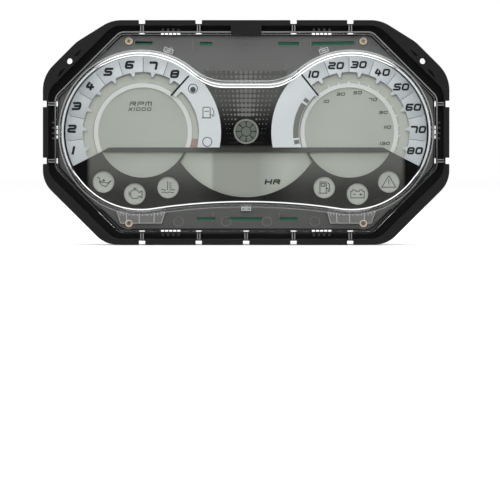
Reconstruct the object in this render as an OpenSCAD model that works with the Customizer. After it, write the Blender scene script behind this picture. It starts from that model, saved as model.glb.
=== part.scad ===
// Motorcycle instrument cluster: a sealed liquid-crystal display unit in a black moulded housing.
// Axes: X to the rider's right, Z up, the dial face towards -Y. The origin is the centre of the four
// fixing holes, on the back face. Depths below are measured from the back face towards the rider.

/* [Front frame] */
// Width of the front frame, side to side
frame_w = 210; // [208:0.5:212]
// Height of the front frame, bottom to top
frame_h = 116; // [115:0.5:117]
// Thickness of the front frame, front to back
frame_t = 5; // [4.5:0.25:6]
// Width of the flat band along the frame's straight sides
band_w = 2.9; // [2.6:0.1:3.2]
// Width of the notches in the frame's outer edge
notch_w = 3.2; // [2.8:0.1:3.6]
// How far the notches cut in from the outer edge
notch_in = 2; // [1.6:0.1:2.1]
// Width of the tongue over the top edge of the lens
tongue_w = 15.8; // [12:0.2:18]

/* [Rear housing] */
// Depth of the housing, from the back face to its front rim
housing_depth = 22; // [22:0.5:26]
// Thickness of the housing's side walls
wall_t = 2.2; // [2:0.1:2.4]
// Thickness of the housing's back wall
back_t = 2.5; // [2:0.1:3]
// Size of the chamfer round the back face
back_edge = 1.4; // [0.8:0.1:1.8]
// Radius of the chamfer's two rounded edges
back_edge_r = 0.5; // [0.2:0.1:0.6]
// Length of the two raised pads on the back
pad_len = 47.6; // [40:0.2:50]
// Width of the raised pads
pad_w = 10.7; // [8:0.1:12]
// How far the raised pads stand out of the back face
pad_rise = 3; // [1:0.25:4]

/* [Lens] */
// Radius of each of the window's two circles, where the window leaves the flange
window_r = 42.3; // [42:0.1:42.6]
// Distance from the centre line to the centre of each circle of the window
window_x = 54.2; // [54:0.1:54.4]
// How far the window stands out of the lens seat
window_rise = 11.5; // [8:0.5:14]
// Thickness of the window and of its walls
window_t = 2; // [1.6:0.1:2.4]
// Thickness of the lens flange
flange_t = 2; // [1.6:0.1:2.2]

/* [Dials] */
// Distance from the centre line to the centre of each dial
dial_x = 53.4; // [53:0.1:54]
// Outer radius of the number rings
scale_r = 40.4; // [40:0.1:40.4]
// Inner radius of the number rings
scale_in_r = 31.1; // [30:0.1:32]
// Inner radius of the crescents that join the number rings
crescent_in_r = 29; // [28:0.1:29.5]
// Outer radius of the pale inner rings
inner_ring_r = 25.5; // [25:0.1:26]
// Width of the pale inner rings
inner_ring_w = 2.3; // [1.5:0.1:3]
// Radius of each warning lamp window
lamp_r = 5.6; // [5:0.1:5.8]

/* [Mounting] */
// Spacing of the four fixing holes in the back, a square
fixing_pitch = 50; // [48:0.5:52]
// Radius of the fixing holes
fixing_r = 2.2; // [2:0.05:2.5]
// Depth of the fixing holes
fixing_deep = 8; // [6:0.5:8]
// Distance from the centre line to each ear hole
ear_x = 91.2; // [91:0.1:91.4]
// Height of the ear holes above the centre of the fixing holes
ear_z = 36.8; // [36.5:0.1:37]
// Radius of the ear holes in the front frame
ear_r = 1.5; // [1.35:0.05:1.6]
// Radius of the ear holes in the housing's bosses
boss_hole_r = 1.95; // [1.7:0.05:2]

/* [Connector] */
// Width of the header shell
shell_w = 25; // [24:0.5:26]
// Height of the header shell
shell_h = 13; // [12.5:0.1:13]
// How far the shell stands out of the back face
shell_rise = 6; // [4:0.5:10]
// Depth of the socket behind the back face
socket_deep = 6; // [4:0.5:6]
// Spacing of the four blades
blade_pitch = 3.5; // [3:0.1:3.6]

/* [Hidden] */

half_w = frame_w / 2;
half_h = frame_h / 2;
root2 = sqrt(2);
gap = 0.2;
arc_steps = 8;
cut = 1;

// Outlines: half width, half height, and the sum |x| + |z| along the corner cuts
body_hw = half_w - 2;
body_hh = half_h - 2.3;
body_sum = 124.4;
body_corner_r = 12;
frame_low_sum = 130.8;
frame_corner_r = 15;
ear_sum = 134.3;
ear_top_x = 69.5;
ear_mid_x = 87.6;
ear_mid_z = ear_sum - ear_mid_x;
channel_hw = half_w - band_w;
channel_hh = half_h - band_w;
channel_sum = 123.8;
lens_hw = 99;
lens_hh = 52.3;
lens_sum = 117.7;
lens_corner_r = 6;
opening_in = 1.6;
tray_hw = 97;
tray_hh = 50.2;
tray_sum = 114.6;

// Depths of the stack, measured from the back face towards the rider
rim_d = housing_depth;
seat_d = rim_d + 1.5;
frame_front_d = rim_d + frame_t;
flange_front_d = seat_d + flange_t;
window_front_d = seat_d + window_rise;
tray_front_d = rim_d - 0.7;
tray_back_d = tray_front_d - 1.5;
mask_front_d = tray_front_d + 0.8;
glass_t = 1.1;
film_t = 0.2;
front_film_d = tray_back_d - gap - film_t;
front_glass_d = front_film_d - glass_t;
rear_glass_d = front_glass_d - glass_t;
rear_film_d = rear_glass_d - film_t;
board_front_d = rim_d - 9.4;
board_t = 1.6;
board_back_d = board_front_d - board_t;

// Display area
lcd_hw = 88;
lcd_top = 32.8;
lcd_low = -38.2;
lcd_sum = 116;
ledge = 1.8;
bar_top = -7.8;
bar_low = -10.2;

// Board screws
screw_x = 60.7;
screw_z = 47.2;
screw_r = 1.1;
screw_head_r = 2.1;
screw_tip_d = 7;
post_r = 3.5;

// Connector
shell_x = 51;
shell_z = -48;
shell_t = 1.6;
blade_x = 50.4;
blade_z = shell_z + 1.6;
blade_w = 1.1;
blade_t = 0.64;
shell_seal_w = 0.6;
shell_seal_t = 0.8;
shell_seal_d = 1.2;

// Lamp places: distance from the centre line and height, as mirrored pairs
LAMPS = [[73.8, -25.6], [57.6, -31.8], [40.4, -28.5]];
NOTCH_X_TOP = [-53.8, -24.5, 24.5, 53.8];
NOTCH_X_LOW = [-53.8, -24.5, 0, 24.5, 53.8];
NOTCH_Z = 14.7;
LATCH_X = 39;
LATCH_Z = 1;

black = [0.10, 0.10, 0.11];
gloss_black = [0.05, 0.05, 0.06];
dark_grey = [0.34, 0.34, 0.34];
silver = [0.78, 0.82, 0.84];
pale = [0.82, 0.84, 0.81];
lcd_grey = [0.66, 0.68, 0.64];
clear = [0.80, 0.86, 0.90, 0.35];
brass = [0.76, 0.60, 0.36];
tin = [0.75, 0.75, 0.74];
white = [0.93, 0.93, 0.92];
board_green = [0.10, 0.36, 0.24];

// ---------- outlines ----------

// Points on an arc about [cx, cz], from angle a0 to angle a1
function arc(cx, cz, r, a0, a1, n = arc_steps) =
    [for (i = [0:n]) let (a = a0 + (a1 - a0) * i / n) [cx + r * cos(a), cz + r * sin(a)]];

// The smallest turn that is the same as angle a
function turn(a) = a > 180 ? a - 360 : a < -180 ? a + 360 : a;

// Arc of radius r tangent to the sides p-p0 and p-p1, in place of the corner p
function corner(p0, p, p1, r) =
    let (u = (p0 - p) / norm(p0 - p), v = (p1 - p) / norm(p1 - p))
    let (half = acos(u * v) / 2, c = p + (u + v) / norm(u + v) * r / sin(half))
    let (s = p + u * r / tan(half) - c, e = p + v * r / tan(half) - c)
    let (a0 = atan2(s[1], s[0]), a1 = a0 + turn(atan2(e[1], e[0]) - a0))
    arc(c[0], c[1], r, a0, a1);

// A closed outline with each corner rounded to its own radius
function rounded(pts, radii) =
    [for (i = [0:len(pts) - 1])
        let (n = len(pts))
        each corner(pts[(i + n - 1) % n], pts[i], pts[(i + 1) % n], radii[i])];

// An outline given as its right half from bottom to top, mirrored to close it
function mirrored(pts) = concat(pts, [for (i = [len(pts) - 1:-1:0]) [-pts[i][0], pts[i][1]]]);
function both(radii) = concat(radii, [for (i = [len(radii) - 1:-1:0]) radii[i]]);

// Rectangle with 45 degree corner cuts along |x| + |z| = sum, moved inwards by inset.
// The rounded corners keep their centres, so every inset of one outline runs parallel to it.
function octagon(hw, hh, sum, r, inset = 0) =
    let (w = hw - inset, h = hh - inset, s = sum - inset * root2)
    let (c = r - inset)
    rounded(
        mirrored([[s - h, -h], [w, w - s], [w, s - w], [s - h, h]]),
        both([c, c, c, c])
    );

// The front frame's outer edge, with an ear at each upper corner
function frame_outline() = rounded(
    mirrored([
        [frame_low_sum - half_h, -half_h], [half_w, half_w - frame_low_sum],
        [half_w, ear_sum - half_w], [ear_mid_x, ear_mid_z], [ear_top_x, half_h]
    ]),
    both([frame_corner_r, frame_corner_r, 18, 20, 18])
);

// The window's edge: two circles, joined by a level dip above and a shallow arc below.
// The dip's ends and the lower arc are tangent to both circles, at every inset.
dip_z = 26.3;
dip_r = 26;
low_z = 38.2;
dip_x = window_x - sqrt(pow(window_r + dip_r, 2) - pow(dip_z + dip_r, 2));
low_r = (pow(window_x, 2) + pow(low_z, 2) - pow(window_r, 2)) / (2 * (window_r - low_z));
dip_a = atan2(dip_z + dip_r, dip_x - window_x);
low_a = atan2(-(low_z + low_r), -window_x);
function window_half(inset) = concat(
    arc(0, -(low_z + low_r), low_r + inset, 90, 180 + low_a, 6),
    arc(window_x, 0, window_r - inset, low_a, dip_a, 36),
    arc(dip_x, dip_z + dip_r, dip_r + inset, 180 + dip_a, 270, 8)
);
function window_outline(inset) =
    let (right = window_half(inset))
    concat(right, [for (i = [len(right) - 1:-1:1]) [-right[i][0], right[i][1]]]);

// ---------- solids ----------

// A flat outline in X and Z made solid between two depths
module slab(d0, d1) {
    rotate([90, 0, 0]) translate([0, 0, d0]) linear_extrude(d1 - d0) children();
}

// A round rod or hole along the depth
module rod(x, z, r, d0, d1) {
    rotate([90, 0, 0]) translate([x, z, d0]) cylinder(h = d1 - d0, r = r, $fn = 48);
}

// A box between two depths, centred on [x, z]
module box(x, z, w, h, d0, d1) {
    rotate([90, 0, 0]) translate([x - w / 2, z - h / 2, d0]) cube([w, h, d1 - d0]);
}

// A cone-sided rod along the depth
module cone(x, z, r0, r1, d0, d1) {
    rotate([90, 0, 0]) translate([x, z, d0]) cylinder(h = d1 - d0, r1 = r0, r2 = r1, $fn = 48);
}

// A shell through equal outlines, one at each depth, closed at both ends
module loft(outlines, depths) {
    n = len(outlines[0]);
    rows = len(outlines);
    points = [for (k = [0:rows - 1]) for (p = outlines[k]) [p[0], p[1], depths[k]]];
    sides = [
        for (k = [0:rows - 2]) for (i = [0:n - 1])
            let (j = (i + 1) % n)
            [k * n + i, (k + 1) * n + i, (k + 1) * n + j, k * n + j]
    ];
    first = [[for (i = [0:n - 1]) i]];
    last = [[for (i = [n - 1:-1:0]) (rows - 1) * n + i]];
    rotate([90, 0, 0]) polyhedron(points, concat(sides, first, last));
}

// An upright oval: a rectangle with round ends
module oval(x, z, w, h) {
    translate([x, z]) {
        square([w - h, h], center = true);
        for (s = [-1, 1]) translate([s * (w - h) / 2, 0]) circle(d = h, $fn = 64);
    }
}

module octagon_slab(hw, hh, sum, r, inset, d0, d1) {
    slab(d0, d1) polygon(octagon(hw, hh, sum, r, inset));
}

// Places its children at the four corners of a rectangle
module four(x, z) {
    for (sx = [-1, 1]) for (sz = [-1, 1]) translate([sx * x, 0, sz * z]) children();
}

// ---------- housing and frame ----------

// Outer skin of the housing: a soft chamfer round the back face, then straight sides that carry
// a round boss and its web under each ear of the frame
module housing_skin() {
    boss_r = 3.2;
    web = 4;
    web_w = 5.6;
    turn = back_edge_r * tan(22.5);
    edge_d = back_edge + turn;
    edge = concat(
        [for (a = [0:15:45]) [edge_d - back_edge_r * sin(a), back_edge_r * (1 - cos(a))]],
        [for (a = [45:15:90]) [back_edge_r * (1 - sin(a)), edge_d - back_edge_r * cos(a)]]
    );
    loft(
        [for (p = edge) octagon(body_hw, body_hh, body_sum, body_corner_r, p[0])],
        [for (p = edge) p[1]]
    );
    slab(edge_d, rim_d) {
        polygon(octagon(body_hw, body_hh, body_sum, body_corner_r));
        for (side = [-1, 1]) translate([side * ear_x, ear_z]) {
            circle(r = boss_r, $fn = 48);
            rotate(side * 45) translate([side > 0 ? -web : 0, -web_w / 2]) square([web, web_w]);
        }
    }
    for (side = [-1, 1]) rod(side * ear_x, ear_z, boss_r - 0.3, 0.2, back_t);
}

// Raised pad on the back with sloping sides
module back_pad(x) {
    slope = 0.8;
    hull() {
        box(x, 0.5, pad_w, pad_len, -0.05, 0.5);
        box(x, 0.5, pad_w - 2 * slope, pad_len - 2 * slope, -pad_rise, 0);
    }
}

module rear_housing() {
    seal_w = 1.2;
    seal_t = 0.8;
    color(gloss_black) difference() {
        union() {
            difference() {
                housing_skin();
                octagon_slab(body_hw, body_hh, body_sum, body_corner_r, wall_t, back_t, rim_d + cut);
                octagon_slab(
                    body_hw, body_hh, body_sum, body_corner_r, wall_t - seal_w, rim_d - seal_t, rim_d + cut
                );
            }
            for (side = [-1, 1]) {
                back_pad(side * 79.5);
                rod(side * screw_x, screw_z, post_r, back_t - 0.5, board_back_d);
            }
            rod(-screw_x, -screw_z, post_r, back_t - 0.5, board_back_d);
            four(fixing_pitch / 2, fixing_pitch / 2) rod(0, 0, 4.5, back_t - 0.5, fixing_deep + 1.2);
        }
        slab(-cut, board_back_d + cut) oval(shell_x, shell_z, shell_w, shell_h);
        slab(shell_seal_d, shell_seal_d + shell_seal_t)
            oval(shell_x, shell_z, shell_w + 2 * shell_seal_w, shell_h + 2 * shell_seal_w);
        four(fixing_pitch / 2, fixing_pitch / 2) {
            rod(0, 0, fixing_r, -cut, fixing_deep);
            cone(0, 0, 3.4, fixing_r, -cut, 0.45);
        }
        for (side = [-1, 1]) {
            rod(side * ear_x, ear_z, boss_hole_r, -cut, rim_d + cut);
            rod(side * screw_x, screw_z, screw_r, screw_tip_d - 0.5, board_back_d + cut);
        }
        rod(-screw_x, -screw_z, screw_r, screw_tip_d - 0.5, board_back_d + cut);
        // Gate mark, breather recess with its hole, and an ejector mark
        rod(0, 0, 3, -cut, 0.3);
        rod(50, -14, 5.2, -cut, 0.4);
        rod(50, -14, 0.8, -cut, back_t + cut);
        rod(-50, -14, 3.5, -cut, 0.25);
    }
}

// One notch at the outer edge with the pocket that its lens tab rests in; +Z is outwards
module frame_notch() {
    box(0, cut, notch_w, 2 * notch_in + 2 * cut, rim_d - cut, frame_front_d + cut);
    box(0, -notch_in - 1, 2.4, 4, seat_d + 0.8, frame_front_d + cut);
}

module front_frame() {
    color(black) difference() {
        union() {
            difference() {
                slab(rim_d, frame_front_d) polygon(frame_outline());
                octagon_slab(
                    channel_hw, channel_hh, channel_sum, 10, 0, seat_d, frame_front_d + cut
                );
                octagon_slab(
                    lens_hw, lens_hh, lens_sum, lens_corner_r, opening_in, rim_d - cut, frame_front_d
                );
            }
            box(0, 52.9, tongue_w, 5, flange_front_d + 0.9, frame_front_d);
        }
        for (x = NOTCH_X_TOP) translate([x, 0, half_h]) frame_notch();
        for (x = NOTCH_X_LOW) translate([x, 0, -half_h]) rotate([0, 180, 0]) frame_notch();
        for (side = [-1, 1]) for (z = [-NOTCH_Z, NOTCH_Z])
            translate([side * half_w, 0, z]) rotate([0, side * 90, 0]) frame_notch();
        for (side = [-1, 1]) rod(side * ear_x, ear_z, ear_r, rim_d - cut, frame_front_d + cut);
    }
}

module lens_seal() {
    color(black) difference() {
        octagon_slab(body_hw, body_hh, body_sum, body_corner_r, 1.05, rim_d - 0.8, rim_d);
        octagon_slab(body_hw, body_hh, body_sum, body_corner_r, 2.15, rim_d - cut - 1, rim_d + cut);
    }
}

// ---------- lens ----------

// A fork of two arms that reaches from the lens edge into a notch; +Z is outwards
module lens_tab() {
    reach = 3.4;
    difference() {
        box(0, reach / 2 - 0.2, 1.8, reach + 0.4, seat_d + 1, flange_front_d + 0.8);
        box(0, reach / 2 + 0.4, 0.7, reach - 0.6, seat_d, flange_front_d + 2);
    }
}

// A row of small latch ribs along the lens edge; +Z is outwards
module latch_ribs() {
    pitch = 2.7;
    for (i = [-1.5:1:1.5]) box(i * pitch, 0.7, 1.3, 1.8, seat_d, seat_d + 1);
}

module lens() {
    drafts = [0, 0.7, 0.95, 1.35, 2];
    rises = [flange_front_d - 0.5, window_front_d - 2.2, window_front_d - 0.9, window_front_d - 0.25,
        window_front_d];
    inner_drafts = [1.6, 1.6, 2.2, 2.8];
    inner_rises = [seat_d - cut, seat_d, window_front_d - window_t - 0.8, window_front_d - window_t];
    color(clear) difference() {
        union() {
            octagon_slab(lens_hw, lens_hh, lens_sum, lens_corner_r, 0, seat_d, flange_front_d);
            difference() {
                octagon_slab(
                    lens_hw, lens_hh, lens_sum, lens_corner_r, 0, flange_front_d - 0.2, flange_front_d + 0.8
                );
                octagon_slab(
                    lens_hw, lens_hh, lens_sum, lens_corner_r, 1, seat_d, flange_front_d + cut
                );
            }
            loft([for (i = drafts) window_outline(i)], rises);
            for (x = NOTCH_X_TOP) translate([x, 0, lens_hh]) lens_tab();
            for (x = NOTCH_X_LOW) translate([x, 0, -lens_hh]) rotate([0, 180, 0]) lens_tab();
            for (side = [-1, 1]) {
                for (z = [-NOTCH_Z, NOTCH_Z])
                    translate([side * lens_hw, 0, z]) rotate([0, side * 90, 0]) lens_tab();
                translate([side * LATCH_X, 0, lens_hh]) latch_ribs();
                translate([side * LATCH_X, 0, -lens_hh]) rotate([0, 180, 0]) latch_ribs();
                translate([side * lens_hw, 0, LATCH_Z]) rotate([0, side * 90, 0]) latch_ribs();
            }
        }
        loft([for (i = inner_drafts) window_outline(i)], inner_rises);
    }
}

// ---------- tray, mask and rings ----------

module inner_tray() {
    sink = 0.6;
    color(dark_grey) difference() {
        union() {
            octagon_slab(tray_hw, tray_hh, tray_sum, 5, 0, tray_back_d, tray_front_d);
            four(screw_x, screw_z) rod(0, 0, 3.2, board_front_d, tray_front_d - sink);
            for (side = [-1, 1]) rod(side * 20, 33, 1.7, tray_back_d, tray_front_d + 0.6);
        }
        slab(board_front_d - cut, tray_front_d + cut) polygon(window_outline(2.5));
        four(screw_x, screw_z) {
            rod(0, 0, screw_r + 0.1, board_front_d - cut, tray_front_d + cut);
            rod(0, 0, 2.5, tray_front_d - sink, tray_front_d + cut);
        }
        // Slots over the board, above and below the dials
        for (s = [[-53, 9], [-20.7, 6.2], [22, 10.8], [45, 22]])
            box(s[0], 46.2, s[1], 1.8, tray_back_d - cut, tray_front_d + cut);
        for (s = [[-20.7, 9.4], [-0.5, 17.5], [22.1, 9.3]])
            box(s[0], -44.8, s[1], 1.6, tray_back_d - cut, tray_front_d + cut);
    }
}

// The part of a disc about a dial's centre that lies above the bar and the sloping line beside it
module above_bar(side) {
    big = 60;
    polygon([
        [side * (dial_x - big), bar_top], [side * (dial_x + 17.6), bar_top],
        [side * (dial_x + 22.4), -10.5], [side * (dial_x + 36.4), -17.6],
        [side * (dial_x + big), -29.6], [side * (dial_x + big), big], [side * (dial_x - big), big]
    ]);
}

module disc(x, z, r) {
    translate([x, z]) circle(r = r, $fn = 96);
}

// Display windows cut through the mask
module mask_windows() {
    for (side = [-1, 1]) {
        intersection() {
            disc(side * dial_x, 0, scale_in_r + 0.2);
            above_bar(side);
        }
        intersection() {
            disc(side * dial_x, 0, 23.4);
            translate([side * dial_x - 30, bar_low - 30]) square([60, 30]);
        }
        for (l = LAMPS) disc(side * l[0], l[1], lamp_r);
    }
    intersection() {
        disc(0, 7.3, 40.8);
        polygon([[-31, bar_low], [31, bar_low], [34, -15.5], [34, -40], [-34, -40], [-34, -15.5]]);
    }
    disc(0, 0.5, 6.5);
}

module dial_mask() {
    color(gloss_black) slab(tray_front_d, mask_front_d) difference() {
        union() {
            polygon(window_outline(0.6));
            translate([-21, 20]) square([42, 11.5]);
        }
        mask_windows();
        for (side = [-1, 1]) disc(side * 20, 33, 2.2);
    }
}

module mask_clips() {
    color(clear) {
        for (side = [-1, 1]) translate([side * 40.2, 0, 42.2]) rotate([0, side * 20, 0])
            box(0, 0, 5, 2.6, tray_front_d, mask_front_d + 0.9);
        box(0, -39.4, 5, 2, tray_front_d, mask_front_d + 0.9);
    }
}

// Number ring on the outer side of a dial, and the crescent on its inner side
module scale_ring(side) {
    split = 39;
    color(silver) slab(mask_front_d, mask_front_d + 0.8) intersection() {
        above_bar(side);
        difference() {
            disc(side * dial_x, 0, scale_r);
            difference() {
                disc(side * dial_x, 0, scale_in_r);
                // The crescent's side of the dial reaches further in
                polygon([
                    [side * dial_x, 0],
                    [side * (dial_x - 60 * sin(split)), 60 * cos(split)],
                    [side * (dial_x - 60), 60 * cos(split)],
                    [side * (dial_x - 60), -30]
                ]);
            }
            disc(side * dial_x, 0, crescent_in_r);
        }
    }
}

module scale_ring_left() {
    scale_ring(-1);
}

module scale_ring_right() {
    scale_ring(1);
}

module inner_ring(side) {
    color(pale) slab(front_film_d + film_t, front_film_d + film_t + 0.6) intersection() {
        above_bar(side);
        difference() {
            disc(side * dial_x, 0, inner_ring_r);
            disc(side * dial_x, 0, inner_ring_r - inner_ring_w);
        }
    }
}

module inner_ring_left() {
    inner_ring(-1);
}

module inner_ring_right() {
    inner_ring(1);
}

// Clear ribbed foot that carries light under the window rim, on two short legs
module edge_light(side) {
    top_w = 25;
    low_w = 21.5;
    ribs = 9;
    z0 = -47.3;
    z1 = -40.6;
    d0 = mask_front_d + 0.2;
    d1 = seat_d - gap - 0.2;
    color(clear) difference() {
        union() {
            slab(d0, d1) translate([side * 54.4, 0])
                polygon([[-low_w / 2, z0], [low_w / 2, z0], [top_w / 2, z1], [-top_w / 2, z1]]);
            for (s = [-1, 1]) box(side * 54.4 + s * 9.6, -45.4, 1.6, 3.4, tray_front_d, d0);
        }
        for (i = [1:ribs - 1])
            box(side * 54.4 + (i / ribs - 0.5) * 20, -44, 0.5, 6.2, d1 - 0.35, d1 + cut);
    }
}

module edge_light_left() {
    edge_light(-1);
}

module edge_light_right() {
    edge_light(1);
}

// ---------- display ----------

// A display sheet with its corners cut to clear the housing, grown past the glass above and below
module sheet(grow, d0, d1, inset = 0) {
    top = lcd_top + grow - inset;
    low = lcd_low - grow + inset;
    w = lcd_hw - inset;
    s = lcd_sum - inset * root2;
    slab(d0, d1) polygon([
        [s + low, low], [w, w - s], [w, s - w], [s - top, top],
        [top - s, top], [-w, s - w], [-w, w - s], [-s - low, low]
    ]);
}

module front_polariser() {
    color(lcd_grey) sheet(-0.5, front_film_d, front_film_d + film_t);
}

module lcd_front_glass() {
    color(lcd_grey) sheet(0, front_glass_d, front_glass_d + glass_t);
}

module lcd_rear_glass() {
    color(lcd_grey) sheet(ledge, rear_glass_d, rear_glass_d + glass_t);
}

module rear_polariser() {
    color(lcd_grey) sheet(-0.5, rear_film_d, rear_film_d + film_t);
}

module lcd_leads() {
    pitch = 4;
    per_side = 18;
    color(tin) for (i = [-per_side:per_side]) for (z = [lcd_top + ledge + 0.3, lcd_low - ledge - 0.3])
        box(i * pitch, z, 0.5, 0.4, board_front_d, front_glass_d);
}

// Lamp tubes of the reflector, as rods of one radius
module at_lamps() {
    for (side = [-1, 1]) for (l = LAMPS) translate([side * l[0], 0, l[1]]) children();
}

module diffuser_sheet() {
    color(white) difference() {
        sheet(0, rear_film_d - 0.5, rear_film_d - 0.2, 2);
        at_lamps() rod(0, 0, 6.3, rear_film_d - 2, rear_film_d + cut);
    }
}

module light_guide() {
    color(clear) difference() {
        sheet(0, board_front_d + 1, rear_film_d - 0.7, 2);
        at_lamps() rod(0, 0, 6.3, board_front_d - cut, rear_film_d + cut);
        for (i = [-3.5:1:3.5]) box(i * 22, lcd_top - 2.4, 4, 3, board_front_d, rear_film_d);
    }
}

module reflector_box() {
    floor_t = 0.8;
    side_t = 1.2;
    top_d = rear_film_d - 0.1;
    color(white) difference() {
        union() {
            difference() {
                sheet(0, board_front_d, top_d);
                sheet(0, board_front_d + floor_t, top_d + cut, side_t);
            }
            at_lamps() rod(0, 0, 6.1, board_front_d, top_d);
        }
        at_lamps() rod(0, 0, 5.2, board_front_d - cut, top_d + cut);
        for (i = [-3.5:1:3.5]) box(i * 22, lcd_top - 2.6, 4, 2.8, board_front_d - cut, board_front_d + 2.4);
    }
}

// ---------- board ----------

module circuit_board() {
    color(board_green) difference() {
        octagon_slab(tray_hw, tray_hh, tray_sum, 5, 0, board_back_d, board_front_d);
        four(screw_x, screw_z) rod(0, 0, screw_r + 0.2, board_back_d - cut, board_front_d + cut);
        for (i = [-1.5:1:1.5])
            box(blade_x + i * blade_pitch, blade_z, blade_w + 0.3, blade_t + 0.3, board_back_d - cut,
                board_front_d + cut);
    }
}

module backlight_leds() {
    color(white) for (i = [-3.5:1:3.5]) box(i * 22, lcd_top - 2.6, 3, 1.4, board_front_d, board_front_d + 2);
}

module lamp_leds() {
    color(white) at_lamps() box(0, 0, 3.2, 2.8, board_front_d, board_front_d + 1.9);
}

// Pan head with a cross recess, and a plain shank
module board_screw() {
    under_d = tray_front_d - 0.6;
    difference() {
        union() {
            rod(0, 0, screw_r, screw_tip_d, under_d);
            rod(0, 0, screw_head_r, under_d, under_d + 1.1);
            cone(0, 0, screw_head_r, 1.5, under_d + 1.1, under_d + 1.5);
        }
        box(0, 0, 2.4, 0.55, under_d + 0.7, under_d + 2);
        box(0, 0, 0.55, 2.4, under_d + 0.7, under_d + 2);
    }
}

module board_screws() {
    color(brass) four(screw_x, screw_z) board_screw();
}

// A flat pack with a row of leads on each side given, sitting on the board's back
module flat_pack(x, z, w, h, t, leads, pitch) {
    box(x, z, w, h, board_back_d - t - 0.1, board_back_d - 0.1);
    for (s = [-1, 1]) for (i = [0:leads - 1]) {
        box(x + (i - (leads - 1) / 2) * pitch, z + s * (h / 2 + 0.45), pitch * 0.4, 1, board_back_d - 0.6,
            board_back_d);
    }
}

module microcontroller() {
    color(black) flat_pack(-2, 8, 14, 14, 1.4, 12, 1);
}

module memory_chip() {
    color(black) flat_pack(-18, 4, 5, 4, 1.5, 4, 1.2);
}

module voltage_regulator() {
    color(black) flat_pack(44, 6, 6.6, 6.2, 2.3, 3, 2.2);
}

module capacitors() {
    color(dark_grey) for (p = [[62, 4, 4], [62, -12, 4], [34, -10, 3.15], [-40, 8, 3.15]])
        rod(p[0], p[1], p[2], board_back_d - 6.2, board_back_d);
}

module crystal() {
    color(tin) slab(board_back_d - 3.5, board_back_d) oval(-2, -10, 11, 4.6);
}

module surge_diode() {
    color(black) box(44, -30, 7, 5.8, board_back_d - 2.3, board_back_d);
}

// ---------- connector and breather ----------

module connector_shell() {
    color(gloss_black) difference() {
        slab(-shell_rise, board_back_d) oval(shell_x, shell_z, shell_w, shell_h);
        slab(-shell_rise - cut, socket_deep)
            oval(shell_x, shell_z, shell_w - 2 * shell_t, shell_h - 2 * shell_t);
        for (i = [-1.5:1:1.5])
            box(blade_x + i * blade_pitch, blade_z, blade_w, blade_t, -cut, board_back_d + cut);
        rod(screw_x, -screw_z, screw_r, screw_tip_d - 0.5, board_back_d + cut);
    }
}

module connector_seal() {
    color(black) slab(shell_seal_d, shell_seal_d + shell_seal_t) difference() {
        oval(shell_x, shell_z, shell_w + 2 * shell_seal_w, shell_h + 2 * shell_seal_w);
        oval(shell_x, shell_z, shell_w, shell_h);
    }
}

module connector_pins() {
    color(tin) for (i = [-1.5:1:1.5])
        box(blade_x + i * blade_pitch, blade_z, blade_w, blade_t, -2, board_front_d + 0.8);
}

module vent_patch() {
    color(dark_grey) rod(50, -14, 5, 0, 0.4);
}

rear_housing();
front_frame();
lens();
lens_seal();
inner_tray();
dial_mask();
mask_clips();
scale_ring_left();
scale_ring_right();
inner_ring_left();
inner_ring_right();
edge_light_left();
edge_light_right();
front_polariser();
lcd_front_glass();
lcd_rear_glass();
rear_polariser();
lcd_leads();
diffuser_sheet();
light_guide();
reflector_box();
backlight_leds();
lamp_leds();
circuit_board();
board_screws();
microcontroller();
memory_chip();
voltage_regulator();
capacitors();
crystal();
surge_diode();
connector_shell();
connector_seal();
connector_pins();
vent_patch();
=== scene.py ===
import math

import bmesh
import bpy
import numpy as np
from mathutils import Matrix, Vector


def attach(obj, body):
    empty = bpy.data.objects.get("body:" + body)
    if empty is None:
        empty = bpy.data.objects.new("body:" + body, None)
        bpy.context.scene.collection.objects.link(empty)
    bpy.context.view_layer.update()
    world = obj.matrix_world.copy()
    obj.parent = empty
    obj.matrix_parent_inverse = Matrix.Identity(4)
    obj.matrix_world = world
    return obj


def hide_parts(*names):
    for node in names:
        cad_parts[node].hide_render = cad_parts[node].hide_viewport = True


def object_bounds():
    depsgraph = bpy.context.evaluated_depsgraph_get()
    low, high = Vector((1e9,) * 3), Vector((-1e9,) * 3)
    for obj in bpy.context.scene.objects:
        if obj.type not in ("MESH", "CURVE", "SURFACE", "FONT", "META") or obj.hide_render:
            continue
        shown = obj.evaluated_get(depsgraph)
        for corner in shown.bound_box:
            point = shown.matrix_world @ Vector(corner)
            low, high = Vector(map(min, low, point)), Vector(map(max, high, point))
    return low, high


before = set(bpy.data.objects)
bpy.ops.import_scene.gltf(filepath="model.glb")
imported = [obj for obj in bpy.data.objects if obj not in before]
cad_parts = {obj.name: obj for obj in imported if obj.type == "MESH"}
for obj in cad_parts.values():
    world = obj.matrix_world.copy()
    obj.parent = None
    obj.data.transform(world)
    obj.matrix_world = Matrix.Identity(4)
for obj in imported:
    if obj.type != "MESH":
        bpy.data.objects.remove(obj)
cad_box = [list(corner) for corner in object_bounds()]

# ---------- studio ----------
# A pale seamless sweep, a large soft light above the front, a strip at each side, one behind,
# and an even surround that is bright for soft shade and dim in reflections.

mm = 0.001


def sheet_of_quads(rows, across, around=False):
    """Corner numbers of the quads on a grid of rows by across points; around joins the last point
    of each row to its first."""
    i, j = np.meshgrid(np.arange(rows - 1), np.arange(across if around else across - 1), indexing="ij")
    k = (j + 1) % across
    return np.stack([i * across + j, i * across + k, (i + 1) * across + k, (i + 1) * across + j], -1).reshape(-1, 4)


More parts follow.
